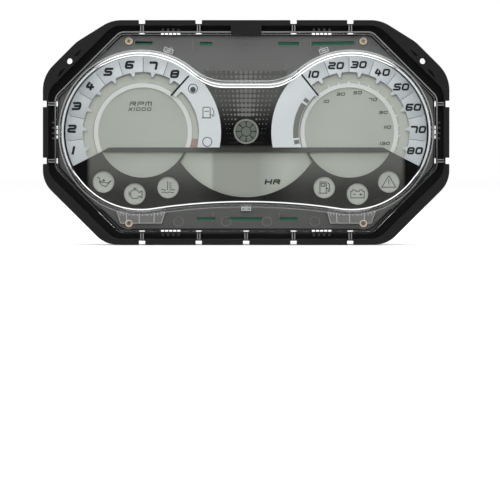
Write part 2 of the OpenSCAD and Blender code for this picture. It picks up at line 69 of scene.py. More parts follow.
def piece(name, points, faces, material, sharp=30, closed=True):
    """A mesh object with its points in millimetres. Edges that turn more than `sharp` degrees stay
    crisp; a closed skin has its faces turned outwards."""
    mesh = bpy.data.meshes.new(name)
    mesh.from_pydata((np.asarray(points, float) * mm).tolist(), [], [list(f) for f in faces])
    if closed:
        skin = bmesh.new()
        skin.from_mesh(mesh)
        bmesh.ops.recalc_face_normals(skin, faces=skin.faces)
        skin.to_mesh(mesh)
        skin.free()
    mesh.polygons.foreach_set("use_smooth", np.ones(len(mesh.polygons), bool))
    mesh.set_sharp_from_angle(angle=math.radians(sharp))
    mesh.materials.append(material)
    made = bpy.data.objects.new(name, mesh)
    bpy.context.scene.collection.objects.link(made)
    return made


def plain(name, colour, **values):
    """A material whose Principled BSDF has the given values on its own sockets."""
    made = bpy.data.materials.new(name)
    made.use_nodes = True
    shader = made.node_tree.nodes["Principled BSDF"]
    shader.inputs["Base Color"].default_value = (*colour, 1)
    for socket, value in values.items():
        shader.inputs[socket.replace("_", " ")].default_value = value
    return made


def feed(tree, socket, value):
    """Joins an output to a socket, or puts a plain value on it."""
    if isinstance(value, bpy.types.NodeSocket):
        tree.links.new(value, socket)
    else:
        socket.default_value = value


def shader_node(tree, kind, *values, operation=None, **named):
    """The outputs of a new shader node: the values feed its sockets in order, or the named ones."""
    made = tree.nodes.new("ShaderNode" + kind)
    if operation:
        made.operation = operation
    for k, value in enumerate(values):
        feed(tree, made.inputs[k], value)
    for label, value in named.items():
        feed(tree, made.inputs[label.replace("_", " ")], value)
    return made.outputs


def sum_node(tree, operation, *values):
    """The result of a Math node."""
    return shader_node(tree, "Math", *values, operation=operation)[0]


def ramp_node(tree, value, low, high, start=0, end=1, smooth=False):
    """A value taken from low..high to start..end, and held at both beyond them."""
    result = shader_node(tree, "MapRange", value, From_Min=low, From_Max=high, To_Min=start, To_Max=end)["Result"]
    result.node.interpolation_type = "SMOOTHSTEP" if smooth else "LINEAR"
    return result


# A long lens, 3 m in front of the cluster and a little above its aim
camera = bpy.data.objects.new("camera", bpy.data.cameras.new("camera"))
camera.data.lens = 418.2
camera.data.sensor_width = 36
camera.data.clip_start = 0.1
camera.location = (0.002, -3.027, 0)
camera.rotation_euler = (math.radians(90 - 1.16), 0, 0)
bpy.context.scene.collection.objects.link(camera)
bpy.context.scene.camera = camera

# The sweep: level from front to back, then a quarter turn up to a wall, far enough back for the
# camera to pass behind the cluster
half_wide, level_end, bend_r, wall_top = 5.5, 3.8, 0.9, 5
rise = np.radians(np.linspace(0, 90, 24))
sweep_y = np.concatenate([[-half_wide, level_end], level_end + bend_r * np.sin(rise), [level_end + bend_r]])
sweep_z = np.concatenate([[0, 0], bend_r - bend_r * np.cos(rise), [wall_top]]) + cad_box[0][2] - 0.0003
sweep_x = np.linspace(-half_wide, half_wide, 13)
sweep = np.stack(np.broadcast_arrays(sweep_x[None, :], sweep_y[:, None], sweep_z[:, None]), -1).reshape(-1, 3)
paper = plain("backdrop_paper", (0.97, 0.97, 0.97), Roughness=0.85, Specular_IOR_Level=0.1)
paper_tree = paper.node_tree
grain = shader_node(paper_tree, "TexNoise", Scale=260)["Fac"]
paper_bump = shader_node(paper_tree, "Bump", Strength=0.04, Height=grain)["Normal"]
feed(paper_tree, paper_tree.nodes["Principled BSDF"].inputs["Normal"], paper_bump)
floor = piece("floor", sweep / mm, sheet_of_quads(len(sweep_y), 13), paper, closed=False)
floor.visible_glossy = False
floor.visible_transmission = False

bpy.context.scene.view_settings.view_transform = "Standard"
surround = bpy.data.worlds.new("surround")
surround.use_nodes = True
surround.cycles.sampling_method = "NONE"
bpy.context.scene.world = surround
sky = surround.node_tree

# Reflections see pale flags all round, with a dark gap in front and a small one behind, as a
# product tent has where the lens looks in; rays through clear plastic see them dimmer still, and
# the rest of the light sees an even white
flag_level, gap_level, through_level = 0.75, 0.05, 0.38
facing = shader_node(sky, "SeparateXYZ", shader_node(sky, "TexCoord")["Generated"])["Y"]
front_gap = ramp_node(sky, facing, -0.975, -0.8, smooth=True)
back_gap = ramp_node(sky, facing, 0.998, 0.985, smooth=True)
level = sum_node(sky, "MULTIPLY_ADD", sum_node(sky, "MULTIPLY", front_gap, back_gap), flag_level, gap_level)
ray = shader_node(sky, "LightPath")
through = sum_node(sky, "MULTIPLY_ADD", ray["Is Transmission Ray"], through_level - 1, 1.0)
not_even = sum_node(sky, "MAXIMUM", ray["Is Glossy Ray"], ray["Is Transmission Ray"])
dimmed = sum_node(sky, "MULTIPLY", through, level)
strength = shader_node(sky, "Mix", Factor=not_even, A=1.0, B=dimmed)["Result"]
feed(sky, sky.nodes["Background"].inputs["Strength"], strength)
sky.nodes["Background"].inputs["Color"].default_value = (1, 1, 1, 1)

LIGHTS = [
    ("soft_above", (0, -0.75, 1.25), (1.3, 0.9), 8, True),
    ("soft_front", (0, -2.2, 0.5), (1.6, 1.2), 27, False),
    ("strip_left", (-1.15, -0.35, 0.25), (0.35, 1.0), 4, True),
    ("strip_right", (1.15, -0.35, 0.25), (0.35, 1.0), 4, True),
    ("soft_behind", (0.2, 1.0, 1.1), (1.2, 0.8), 7, True),
]
for name, place, size, watts, mirrored in LIGHTS:
    light = bpy.data.lights.new(name, "AREA")
    light.shape = "RECTANGLE"
    light.size, light.size_y = size
    light.energy = watts
    lamp = bpy.data.objects.new(name, light)
    lamp.location = place
    lamp.visible_glossy = mirrored
    lamp.visible_transmission = mirrored
    direction = -np.array(place)
    lamp.rotation_euler = (
        math.atan2(math.hypot(direction[0], direction[1]), -direction[2]), 0,
        math.atan2(direction[1], direction[0]) - math.pi / 2,
    )
    bpy.context.scene.collection.objects.link(lamp)

# ---------- rear housing ----------
# A deep tub of gloss black ABS, injection moulded in one shot. The chamfer round its back and the
# lips of its holes are as soft as the tool leaves them, and its raised edges carry a painted highlight.


def group(name, inputs, outputs):
    """An empty shader node group with its inner ends; inputs are (label, kind, value) and outputs
    (label, kind)."""
    tree = bpy.data.node_groups.new(name, "ShaderNodeTree")
    for label, kind, value in inputs:
        socket = tree.interface.new_socket(label, in_out="INPUT", socket_type="NodeSocket" + kind)
        socket.default_value = value
    for label, kind in outputs:
        tree.interface.new_socket(label, in_out="OUTPUT", socket_type="NodeSocket" + kind)
    return tree, tree.nodes.new("NodeGroupInput").outputs, tree.nodes.new("NodeGroupOutput").inputs


def colour_mix(tree, factor, first, second):
    """A colour between two, each a colour or an output."""
    made = tree.nodes.new("ShaderNodeMix")
    made.data_type = "RGBA"
    feed(tree, made.inputs["Factor"], factor)
    for socket, colour in (("A", first), ("B", second)):
        feed(tree, made.inputs[socket], (*colour, 1) if isinstance(colour, tuple) else colour)
    return made.outputs["Result"]


# Moulded plastic: a fine grain for the bump, broad blotches for roughness and tone, and a painted
# highlight, paler, along the edges where the rounded normal leaves the flat one, broken up by the blotches
moulding, given, result = group(
    "moulded_plastic",
    [("Colour", "Color", (0, 0, 0, 1)), ("Highlight Colour", "Color", (0, 0, 0, 1)), ("Roughness", "Float", 0.5),
     ("Spread", "Float", 0.1), ("Grain Scale", "Float", 2000), ("Grain Height", "Float", 0.1),
     ("Edge Highlight", "Float", 0.3)],
    [("Colour", "Color"), ("Roughness", "Float"), ("Normal", "Vector")],
)
place = shader_node(moulding, "TexCoord")["Object"]
fine = shader_node(moulding, "TexNoise", Vector=place, Scale=given["Grain Scale"], Detail=3)["Fac"]
broad = shader_node(moulding, "TexNoise", Vector=place, Scale=55, Detail=5)["Fac"]
soft = shader_node(moulding, "Bevel", Radius=0.0004)["Normal"]
soft.node.samples = 4
bump = shader_node(moulding, "Bump", Distance=0.00012, Strength=given["Grain Height"], Height=fine, Normal=soft)
centred = sum_node(moulding, "SUBTRACT", broad, 0.5)
face = shader_node(moulding, "NewGeometry")["Normal"]
turned = shader_node(moulding, "VectorMath", soft, face, operation="DOT_PRODUCT")["Value"]
# The edges' share of the painted highlight, where the rounded normal turns from the flat one
patchy = sum_node(moulding, "MULTIPLY", ramp_node(moulding, turned, 0.995, 0.85), broad)
edge_highlight = sum_node(moulding, "MULTIPLY", patchy, given["Edge Highlight"])
feed(moulding, result["Colour"], colour_mix(moulding, edge_highlight, given["Colour"], given["Highlight Colour"]))
rough = sum_node(moulding, "MULTIPLY_ADD", centred, given["Spread"], given["Roughness"])
feed(moulding, result["Roughness"], rough)
feed(moulding, result["Normal"], bump["Normal"])


def moulded(name, colour, highlight_colour, roughness, spread, grain_scale, grain_height, edge_highlight=0.5, **values):
    """A plastic with the moulded_plastic group in front of its Principled BSDF; its second colour, at the strength
    given after the grain, paints a highlight along the edges.
    """
    made = plain(name, colour, **values)
    tree = made.node_tree
    skin = tree.nodes.new("ShaderNodeGroup")
    skin.node_tree = moulding
    for socket, value in (
        ("Colour", (*colour, 1)), ("Highlight Colour", (*highlight_colour, 1)), ("Roughness", roughness), ("Spread", spread),
        ("Grain Scale", grain_scale), ("Grain Height", grain_height), ("Edge Highlight", edge_highlight),
    ):
        skin.inputs[socket].default_value = value
    shader = tree.nodes["Principled BSDF"]
    for out, into in (("Colour", "Base Color"), ("Roughness", "Roughness"), ("Normal", "Normal")):
        feed(tree, shader.inputs[into], skin.outputs[out])
    return made


def softened(node, material, edge):
    """The CAD solid of a node, welded, its flat faces made whole, with every edge that turns more
    than 28 degrees rounded by a bevel `edge` millimetres wide."""
    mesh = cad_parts[node].data.copy()
    skin = bmesh.new()
    skin.from_mesh(mesh)
    bmesh.ops.remove_doubles(skin, verts=skin.verts, dist=2e-6)
    bmesh.ops.dissolve_limit(skin, angle_limit=math.radians(0.5), verts=skin.verts, edges=skin.edges)
    skin.to_mesh(mesh)
    skin.free()
    mesh.polygons.foreach_set("use_smooth", np.ones(len(mesh.polygons), bool))
    mesh.set_sharp_from_angle(angle=math.radians(28))
    mesh.materials.clear()
    mesh.materials.append(material)
    made = bpy.data.objects.new(node + "_moulding", mesh)
    bpy.context.scene.collection.objects.link(made)
    bevel = made.modifiers.new("soft_edges", "BEVEL")
    bevel.width = edge * mm
    bevel.segments = 2
    bevel.limit_method = "ANGLE"
    bevel.angle_limit = math.radians(28)
    bevel.use_clamp_overlap = False
    bevel.harden_normals = True
    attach(made, "root")
    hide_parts(node)
    return made


def finish_node(node, material):
    """Gives a CAD node that keeps its own shape its material."""
    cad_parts[node].data.materials.clear()
    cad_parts[node].data.materials.append(material)


def add(made, slot, *nodes):
    """Rides a new piece on the body and hides the CAD nodes that it stands for; its slot is not used."""
    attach(made, "root")
    if nodes:
        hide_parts(*nodes)
    return made


gloss_black = moulded("gloss_black_abs", (0.0035, 0.0035, 0.004), (0.05, 0.05, 0.052), 0.14, 0.12, 900, 0.012,
                      0.8)
finish_node("rear_housing", gloss_black)

# ---------- front frame ----------
# The flanged ring that holds the lens down: matt black glass-filled nylon, with a fine spark-eroded
# texture. Two ears carry the fixing holes, and notches along its edge take the tabs of the lens.
# A rubber ring lies between it and the housing.


def axes_of(tree):
    """The outputs X, Y and Z of the place on the piece, in metres."""
    return shader_node(tree, "SeparateXYZ", shader_node(tree, "TexCoord")["Object"])


def tint(material, colour):
    """Feeds a colour to the plastic in place of its plain one."""
    feed(material.node_tree, material.node_tree.nodes["Group"].inputs["Colour"], colour)


def fade(material, axis, low, high, first, second):
    """The plastic's colour goes from the first to the second between two places on an axis."""
    tree = material.node_tree
    tint(material, colour_mix(tree, ramp_node(tree, axes_of(tree)[axis], low, high), first, second))


matt_black = moulded("matt_black_nylon", (0.006, 0.006, 0.0062), (0.02, 0.02, 0.02), 0.5, 0.15, 2600, 0.35, 0.6,
                     Specular_IOR_Level=0.25)
# The channel under the lens, a recess behind the face, is painted blacker than the face: painted shade
fade(matt_black, "Y", -0.0266, -0.0255, (0.006, 0.006, 0.0062), (0.0006, 0.0006, 0.0007))
softened("front_frame", matt_black, 0.3)
rubber = moulded("black_rubber", (0.012, 0.012, 0.012), (0.03, 0.03, 0.03), 0.7, 0.1, 1500, 0.25, 0.3)
finish_node("lens_seal", rubber)


def ribbon(path, width, back, front, closed=False):
    """A flat band carried along a path in X and Z. Its two sides stand half a width off along the
    mean of the neighbouring normals, longer at a bend by one over the cosine of half the turn; the
    width may differ from point to point. The section is a rectangle between two depths."""
    path = np.asarray(path, float)
    if closed:
        ahead, behind = np.roll(path, -1, 0) - path, path - np.roll(path, 1, 0)
    else:
        step = np.diff(path, axis=0)
        ahead, behind = np.vstack([step, step[-1:]]), np.vstack([step[:1], step])
    ahead /= np.linalg.norm(ahead, axis=1, keepdims=True)
    behind /= np.linalg.norm(behind, axis=1, keepdims=True)
    mean = ahead + behind
    mean /= np.linalg.norm(mean, axis=1, keepdims=True)
    reach = np.clip(1 / np.clip((mean * ahead).sum(1), 0.3, 1), 1, 2.5)
    side = np.stack([-mean[:, 1], mean[:, 0]], 1) * (reach * np.asarray(width) / 2)[:, None]
    left, right = path + side, path - side
    rings = np.stack([
        np.insert(left, 1, -back, 1), np.insert(left, 1, -front, 1),
        np.insert(right, 1, -front, 1), np.insert(right, 1, -back, 1),
    ], 1)
    count = len(path)
    if closed:
        faces = sheet_of_quads(count + 1, 4, True) % (4 * count)
    else:
        last = 4 * (count - 1)
        faces = np.vstack([sheet_of_quads(count, 4, True), [[0, 1, 2, 3], [last, last + 1, last + 2, last + 3]]])
    return rings.reshape(-1, 3), faces


def together(parts):
    """One set of points and faces from several."""
    points = np.vstack([p for p, _ in parts])
    starts = np.cumsum([0] + [len(p) for p, _ in parts[:-1]])
    faces = [list(f) for (_, fs), start in zip(parts, starts) for f in (np.asarray(fs) + start)]
    return points, faces


def arc(x, z, r, a0, a1, steps=48):
    """Points on a circle about x, z, at angles measured from straight up towards +X, in degrees."""
    a = np.radians(np.linspace(a0, a1, steps))
    return np.stack([x + r * np.sin(a), z + r * np.cos(a)], 1)


def ring(x, z, r, width, back, front, steps=48):
    """A flat ring of that mean radius."""
    return ribbon(arc(x, z, r, 0, 360, steps + 1)[:-1], width, back, front, True)


# On each ear a dark ring is painted round the fixing hole, and two dark flats along the edge: painted
# shade standing for the shade in the hole's rim and in two shallow recesses of the ear
ear_shade = moulded("ear_painted_shade", (0.0008, 0.0008, 0.0009), (0.01, 0.01, 0.01), 0.25, 0.1, 1200, 0.05, 0.2)
on_ear = (26.9, 27.03)
ears = []
for s in (-1, 1):
    ears.append(ring(s * 91.2, 36.8, 1.9, 0.55, *on_ear))
    ears.append(ribbon([(s * 84.8, 42.9), (s * 87.2, 40.4), (s * 88.6, 39.6)], [0.5, 1.5, 0.7], *on_ear))
    ears.append(ribbon([(s * 93.6, 33.2), (s * 95.6, 31.0), (s * 97.4, 28.6)], [0.6, 1.6, 0.6], *on_ear))
add(piece("ear_shade_marks", *together(ears), ear_shade), "frame")

# ---------- circuit board and what it carries ----------
# Glass-epoxy board with green solder mask over copper tracks; the parts on it are soldered on, and
# four brass-coloured screws hold it, through the tray, to the housing's posts.

mask_green = moulded("solder_mask", (0.02, 0.14, 0.08), (0.04, 0.2, 0.12), 0.3, 0.2, 600, 0.1, 0.2)
tracks = mask_green.node_tree
flat = shader_node(tracks, "Mapping", Vector=shader_node(tracks, "TexCoord")["Object"],
                   Rotation=(math.radians(90), 0, 0))["Vector"]
tint(mask_green, shader_node(
    tracks, "TexBrick", Vector=flat, Scale=160, Color1=(0.02, 0.13, 0.075, 1), Color2=(0.03, 0.17, 0.1, 1),
    Mortar=(0.05, 0.26, 0.16, 1), Mortar_Size=0.06,
)["Color"])
finish_node("circuit_board", mask_green)

chip_black = moulded("chip_epoxy", (0.02, 0.02, 0.022), (0.04, 0.04, 0.04), 0.55, 0.1, 3000, 0.2, 0.3)
for node in ("microcontroller", "memory_chip", "voltage_regulator", "surge_diode"):
    finish_node(node, chip_black)
tin = moulded("bright_tin", (0.72, 0.71, 0.68), (0.8, 0.8, 0.78), 0.28, 0.2, 1200, 0.05, 0.3, Metallic=1.0)
for node in ("lcd_leads", "crystal", "connector_pins"):
    finish_node(node, tin)
can_aluminium = moulded("drawn_aluminium", (0.6, 0.61, 0.63), (0.7, 0.7, 0.7), 0.35, 0.2, 900, 0.08, 0.3,
                        Metallic=1.0)
finish_node("capacitors", can_aluminium)
lamp_white = moulded("lamp_body", (0.8, 0.8, 0.76), (0.85, 0.85, 0.8), 0.4, 0.1, 1500, 0.05, 0.2)
for node in ("backlight_leds", "lamp_leds"):
    finish_node(node, lamp_white)
reflector = moulded("reflector_white", (0.85, 0.85, 0.84), (0.9, 0.9, 0.9), 0.5, 0.1, 1500, 0.1, 0.2)
finish_node("reflector_box", reflector)
brass = moulded("screw_brass", (0.97, 0.84, 0.66), (0.99, 0.93, 0.82), 0.42, 0.3, 1400, 0.06, 0.9, Metallic=0.3)
softened("board_screws", brass, 0.1)

# Each screw's cross recess is a dark brown cross laid on the head, painted shade in the recess, and a raised brass
# rim round it carries the painted edge highlight
screw_x, screw_z = 60.7, 47.2
crosses, rims = [], []
for x in (-screw_x, screw_x):
    for z, tilt in ((screw_z, 0.5), (-screw_z, 0.9)):
        for a in (tilt, tilt + math.pi / 2):
            arm = np.array([math.cos(a), math.sin(a)])
            crosses.append(ribbon(np.array([-arm, arm]) + [x, z], 0.34, 23.0, 23.3))
        rims.append(ring(x, z, 1.75, 0.45, 22.9, 23.25))
recess_shade = moulded("recess_shade", (0.2, 0.13, 0.07), (0.3, 0.2, 0.1), 0.5, 0.1, 2000, 0.1, 0.2)
add(piece("screw_rims", *together(rims), brass), "brass")
add(piece("screw_crosses", *together(crosses), recess_shade), "brass")

# ---------- display ----------
# Two glass plates with liquid crystal between and a polariser glued on each face, over a diffuser and
# a moulded light guide. The film reads as a grey green, a little uneven from the lamps behind.

guide_clear = moulded("guide_acrylic", (0.8, 0.82, 0.82), (0.9, 0.9, 0.9), 0.12, 0.1, 600, 0.02, 0.2)
finish_node("light_guide", guide_clear)
diffuser = moulded("diffuser_film", (0.86, 0.86, 0.85), (0.9, 0.9, 0.9), 0.6, 0.1, 4000, 0.2, 0.1)
finish_node("diffuser_sheet", diffuser)
plate_glass = moulded("plate_glass", (0.3, 0.33, 0.3), (0.4, 0.42, 0.4), 0.08, 0.05, 500, 0.01, 0.2)
finish_node("lcd_front_glass", plate_glass)
finish_node("lcd_rear_glass", plate_glass)
film_colour = (0.48, 0.51, 0.46)
film = moulded("polariser_film", film_colour, film_colour, 0.3, 0.1, 3000, 0.03, 0.0, Specular_IOR_Level=0.3)
film_tree = film.node_tree
drift = shader_node(film_tree, "TexNoise", Vector=shader_node(film_tree, "TexCoord")["Object"], Scale=14, Detail=1)
shade = colour_mix(film_tree, drift["Fac"], (0.45, 0.485, 0.43), (0.51, 0.535, 0.485))
# Painted light round each dial: the film is painted paler between 26 and 32 mm from the dial's centre,
# either above the bar or on the dial's outer side, where the deep gap between the rings falls in shade
spot = axes_of(film_tree)
film_side = sum_node(film_tree, "ABSOLUTE", spot["X"])
film_flat = shader_node(film_tree, "CombineXYZ", X=sum_node(film_tree, "SUBTRACT", film_side, 0.0534), Z=spot["Z"])
film_far = shader_node(film_tree, "VectorMath", film_flat["Vector"], operation="LENGTH")["Value"]
bar_zone = ramp_node(film_tree, film_far, 0.0255, 0.0262)
beyond = ramp_node(film_tree, film_far, 0.0315, 0.0325, 1, 0)
upper = ramp_node(film_tree, spot["Z"], -0.0105, -0.0090)
outer_side = ramp_node(film_tree, film_side, 0.060, 0.062)
lit_zone = sum_node(film_tree, "MULTIPLY", sum_node(film_tree, "MULTIPLY", bar_zone, beyond),
                    sum_node(film_tree, "MAXIMUM", upper, outer_side))
lit = colour_mix(film_tree, lit_zone, shade, (0.6, 0.63, 0.565))
# The lower display is shaded in its middle, from 17 mm left of the centre, and fades out again
# between 6 and 20 mm right of it
from_left = ramp_node(film_tree, spot["X"], -0.0185, -0.0165)
to_right = ramp_node(film_tree, spot["X"], 0.006, 0.02, 1, 0)
under_bar = ramp_node(film_tree, spot["Z"], -0.0095, -0.011, 0, 0.45)
middle_zone = sum_node(film_tree, "MULTIPLY", sum_node(film_tree, "MULTIPLY", from_left, to_right), under_bar)
tint(film, colour_mix(film_tree, middle_zone, lit, (0.14, 0.145, 0.12)))
finish_node("front_polariser", film)
finish_node("rear_polariser", film)

# ---------- inner tray ----------
# Dark grey ABS plate round the dials, screwed down through the board into the housing's posts.
# Slots show the board behind it; ejector pins and small clips have left round marks on its face.

tray_grey = moulded("tray_grey_abs", (0.112, 0.114, 0.11), (0.2, 0.2, 0.195), 0.42, 0.15, 1800, 0.2, 0.5)
# Painted light: the tray is paler towards the top and darker towards the bottom, as the light falls from above
fade(tray_grey, "Z", -0.05, 0.04, (0.104, 0.107, 0.102), (0.16, 0.163, 0.158))
softened("inner_tray", tray_grey, 0.15)


def discs(x, z, r, back, front, steps=16):
    """Short round pegs, all at once: x, z and r hold one value for each."""
    x, z, r = (np.ravel(v).astype(float) for v in np.broadcast_arrays(x, z, r))
    a = np.radians(np.linspace(0, 360, steps, endpoint=False))
    rim_x = x[:, None] + r[:, None] * np.cos(a)
    rim_z = z[:, None] + r[:, None] * np.sin(a)
    low = np.stack([rim_x, np.full_like(rim_x, -back), rim_z], -1)
    top = np.stack([rim_x, np.full_like(rim_x, -front), rim_z], -1)
    points = np.concatenate([low, top], 1).reshape(-1, 3)
    side = sheet_of_quads(2, steps, True)
    first = np.arange(len(x))[:, None, None] * 2 * steps
    sides = (side[None] + first).reshape(-1, 4).tolist()
    ends = np.stack([np.arange(steps), np.arange(steps) + steps])
    return points, sides + (ends[None] + first).reshape(-1, steps).tolist()


def plates(*parts):
    """Points and faces from parts whose faces may have any number of corners."""
    points, faces, start = [], [], 0
    for p, fs in parts:
        points.append(p)
        faces += [[c + start for c in f] for f in fs]
        start += len(p)
    return np.vstack(points), faces


tray_face = 21.3
under = tray_face - 0.1
marks = plates(
    *[ring(x, z, 1.9, 0.35, under, tray_face + 0.12) for x, z in ((0, 45.7), (-26, 42.9), (26, 42.9))],
    *[ring(x, -46.2, 2.5, 0.35, under, tray_face + 0.12) for x in (-35, -10.4, 10.8, 35.6)],
    *[ring(x, z, 3.15, 0.4, under, tray_face + 0.15) for x in (-screw_x, screw_x) for z in (-screw_z, screw_z)],
    discs([-20.6, 20.6], [33.4, 33.4], [1.5, 1.5], under, tray_face + 0.15),
    ribbon([(-27.6, 49.6), (-27.6, 44), (-28.6, 40.6)], 0.5, under, tray_face + 0.25),
    ribbon([(33.4, 49.6), (33.4, 44), (34.4, 40.9)], 0.5, under, tray_face + 0.25),
    *[ribbon([(x, -41.2), (x, -43.6)], 0.35, under, tray_face + 0.2) for x in (-17.2, 17.2)],
    *[ribbon([(s * 72.5, 42.6), (s * 90.4, 24.7)], 0.4, under, tray_face + 0.2) for s in (-1, 1)],
    *[ribbon([(s * 66, -46.4), (s * 89, -23.4)], 0.4, under, tray_face + 0.2) for s in (-1, 1)],
)
mark_grey = moulded("tray_mark_grey", (0.2, 0.202, 0.198), (0.3, 0.3, 0.29), 0.42, 0.15, 1800, 0.2, 0.5)
add(piece("tray_marks", *marks, mark_grey), "tray")

# Painted light: strips of the board's green mask, a little paler than the board, stand close behind the slots, in
# front of the board that lies deep in shade; each slot is (x, z, width)
slots = [(-53, 46.2, 9), (-20.7, 46.2, 6.2), (22, 46.2, 10.8), (45, 46.2, 22),
         (-20.7, -44.8, 9.4), (-0.5, -44.8, 17.5), (22.1, -44.8, 9.3)]
strips = together([ribbon([(x - w / 2 - 0.5, z), (x + w / 2 + 0.5, z)], 2.4, 19.2, 19.65) for x, z, w in slots])
strip_green = moulded("strip_solder_mask", (0.035, 0.2, 0.12), (0.1, 0.3, 0.2), 0.3, 0.2, 700, 0.1, 0.2)
add(piece("board_strips", *strips, strip_green), "board")

# ---------- dial mask ----------
# Gloss black polycarbonate fascia, printed behind its face: it fades to grey above the dials, and a
# field of grey dots, widest on the centre line, fades into the black between them.

mask_black = moulded("mask_gloss_black", (0.004, 0.004, 0.0042), (0.02, 0.02, 0.02), 0.12, 0.05, 700, 0.01, 0.2)
mask_tree = mask_black.node_tree
spot = axes_of(mask_tree)
across = sum_node(mask_tree, "ABSOLUTE", spot["X"])
above = ramp_node(mask_tree, spot["Z"], 0.001, 0.022, 0, 0.8, smooth=True)
below = ramp_node(mask_tree, spot["Z"], -0.006, -0.0085, smooth=True)
lower = ramp_node(mask_tree, spot["Z"], -0.012, -0.034, 1, 0.3, smooth=True)
outward = ramp_node(mask_tree, across, 0.0828, 0.0800, smooth=True)
inward = ramp_node(mask_tree, across, 0.010, 0.030, 0.35, 1, smooth=True)
foot_grey = sum_node(mask_tree, "MULTIPLY", sum_node(mask_tree, "MULTIPLY", below, lower),
                     sum_node(mask_tree, "MULTIPLY", outward, inward))
grey_share = sum_node(mask_tree, "ADD", foot_grey, above)
tint(mask_black, colour_mix(mask_tree, grey_share, (0.003, 0.003, 0.0031), (0.135, 0.137, 0.127)))
finish_node("dial_mask", mask_black)

mask_face = 22.1
row_z = np.repeat(21.3 + 2.42 * np.arange(4, -12, -1), 15)
column = np.tile(np.arange(-7, 8), 16)
dot_x = column * (1.6 + 0.031 * row_z) - 0.1
dot_r = (0.34 + 0.74 * np.exp(-((column / 3.1) ** 2))) * np.clip((row_z + 8) / 18, 0.32, 1)
keep = (np.hypot(dot_x, row_z - 0.5) > 6.7 + dot_r) & ((np.abs(column) < 7) | (row_z > 18))
dot_grey = moulded("dot_ink", (0.19, 0.19, 0.182), (0.2, 0.2, 0.2), 0.3, 0.1, 2500, 0.05, 0.0)
dots = discs(dot_x[keep], row_z[keep], dot_r[keep], mask_face - 0.02, mask_face + 0.015, 14)
add(piece("mask_dots", *dots, dot_grey), "mask")

# ---------- number rings ----------
# Silver-blue screen-printed rings on the outer side of each dial, carried on into a plain crescent
# towards the middle. Each number's cell carries a painted shade across it, and ends at the printed divider.

dial_x, ring_face = 53.4, 22.9
ring_inner, ring_outer, tooth_high, cell_turn = 31.1, 40.4, 2.3, 19.3
bar_z = -7.8


def ring_end(r, outer):
    """Angle from straight up at which radius r meets the bar below the dial: on the outer side the
    slope z = 0.857 - 0.507 x, on the inner side the level line z = bar_z."""
    m, b = -0.507, 0.857
    if outer:
        x = (-m * b + np.sqrt((m * b) ** 2 - (1 + m * m) * (b * b - r * r))) / (1 + m * m)
        return np.degrees(np.arctan2(x, m * x + b))
    return np.degrees(np.arctan2(np.sqrt(r * r - bar_z ** 2), bar_z))


def number_ring(side, crescent_r):
    """Grid over angle u and section v. The inner edge is at ring_inner on the outer side, less a
    tooth (a short peak) in the middle of each cell. From 39 degrees inwards it is at 24.6 for 4.2
    degrees, where the ring reaches in to the inner ring, and then at crescent_r. The outer edge is
    at ring_outer. Only the last 8% of u at each end slants to the bar's line. The section runs up
    the inner wall, across the face and down."""
    u = np.linspace(0, 1, 721)[:, None]
    share = np.array([0, 0, 0.02, 0.98, 1, 1])[None, :]
    depth = np.array([mask_face, ring_face - 0.15, ring_face, ring_face, ring_face - 0.15, mask_face])
    nominal = ring_inner + (ring_outer - ring_inner) * share
    start, end = ring_end(nominal, True), -ring_end(crescent_r + (ring_outer - crescent_r) * share, False)
    angle = start[:, :1] + (end[:, :1] - start[:, :1]) * u
    angle = angle + (start - start[:, :1]) * np.clip(1 - u / 0.08, 0, 1)
    angle = angle + (end - end[:, :1]) * np.clip((u - 0.92) / 0.08, 0, 1)
    middles = 96.5 + cell_turn / 2 - cell_turn * np.arange(8)
    tooth = np.clip(1 - np.abs(angle[:, :1] - middles[None, :]) / 2.3, 0, 1).max(1, keepdims=True)
    inner = np.where(angle[:, :1] > -39, ring_inner - tooth_high * np.clip(tooth * 1.6, 0, 1), crescent_r)
    inner = np.where((angle[:, :1] < -39) & (angle[:, :1] > -43.2), 24.6, inner)
    radius = inner + (ring_outer - inner) * share
    x = side * (dial_x + radius * np.sin(np.radians(angle)))
    z = radius * np.cos(np.radians(angle))
    points = np.stack([x, np.broadcast_to(-depth, x.shape), z], -1).reshape(-1, 3)
    faces = sheet_of_quads(721, 6, True).tolist() + [list(range(6)), list(range(720 * 6, 721 * 6))]
    return points, faces


silver = moulded("ring_silver_blue", (0.52, 0.56, 0.575), (0.6, 0.63, 0.64), 0.32, 0.1, 2400, 0.04, 0.0,
                 Specular_IOR_Level=0.4)
silver_tree = silver.node_tree
spot = axes_of(silver_tree)
off = sum_node(silver_tree, "SUBTRACT", sum_node(silver_tree, "ABSOLUTE", spot["X"]), dial_x * mm)
bearing = sum_node(silver_tree, "ARCTAN2", off, spot["Z"])
# Painted shade: across each numbered cell the silver goes from paler to darker, as if the cell were tilted to the
# light; the crescent stays pale
cell = sum_node(silver_tree, "MULTIPLY_ADD", bearing, 180 / math.pi / cell_turn, 10)
numbered = sum_node(silver_tree, "GREATER_THAN", bearing, math.radians(-38.6))
cell_painted_shade = sum_node(silver_tree, "MULTIPLY", sum_node(silver_tree, "FRACT", cell), numbered)
tint(silver, colour_mix(silver_tree, cell_painted_shade, (0.70, 0.745, 0.755), (0.56, 0.605, 0.625)))
add(piece("number_ring_left", *number_ring(-1, 29), silver), "scale", "scale_ring_left")
add(piece("number_ring_right", *number_ring(1, 26), silver), "scale", "scale_ring_right")

# ---------- inner rings ----------
# A narrow ring of pale plastic lies on the display inside each number ring. The right one has short
# teeth round it, for the marks of the small scale.

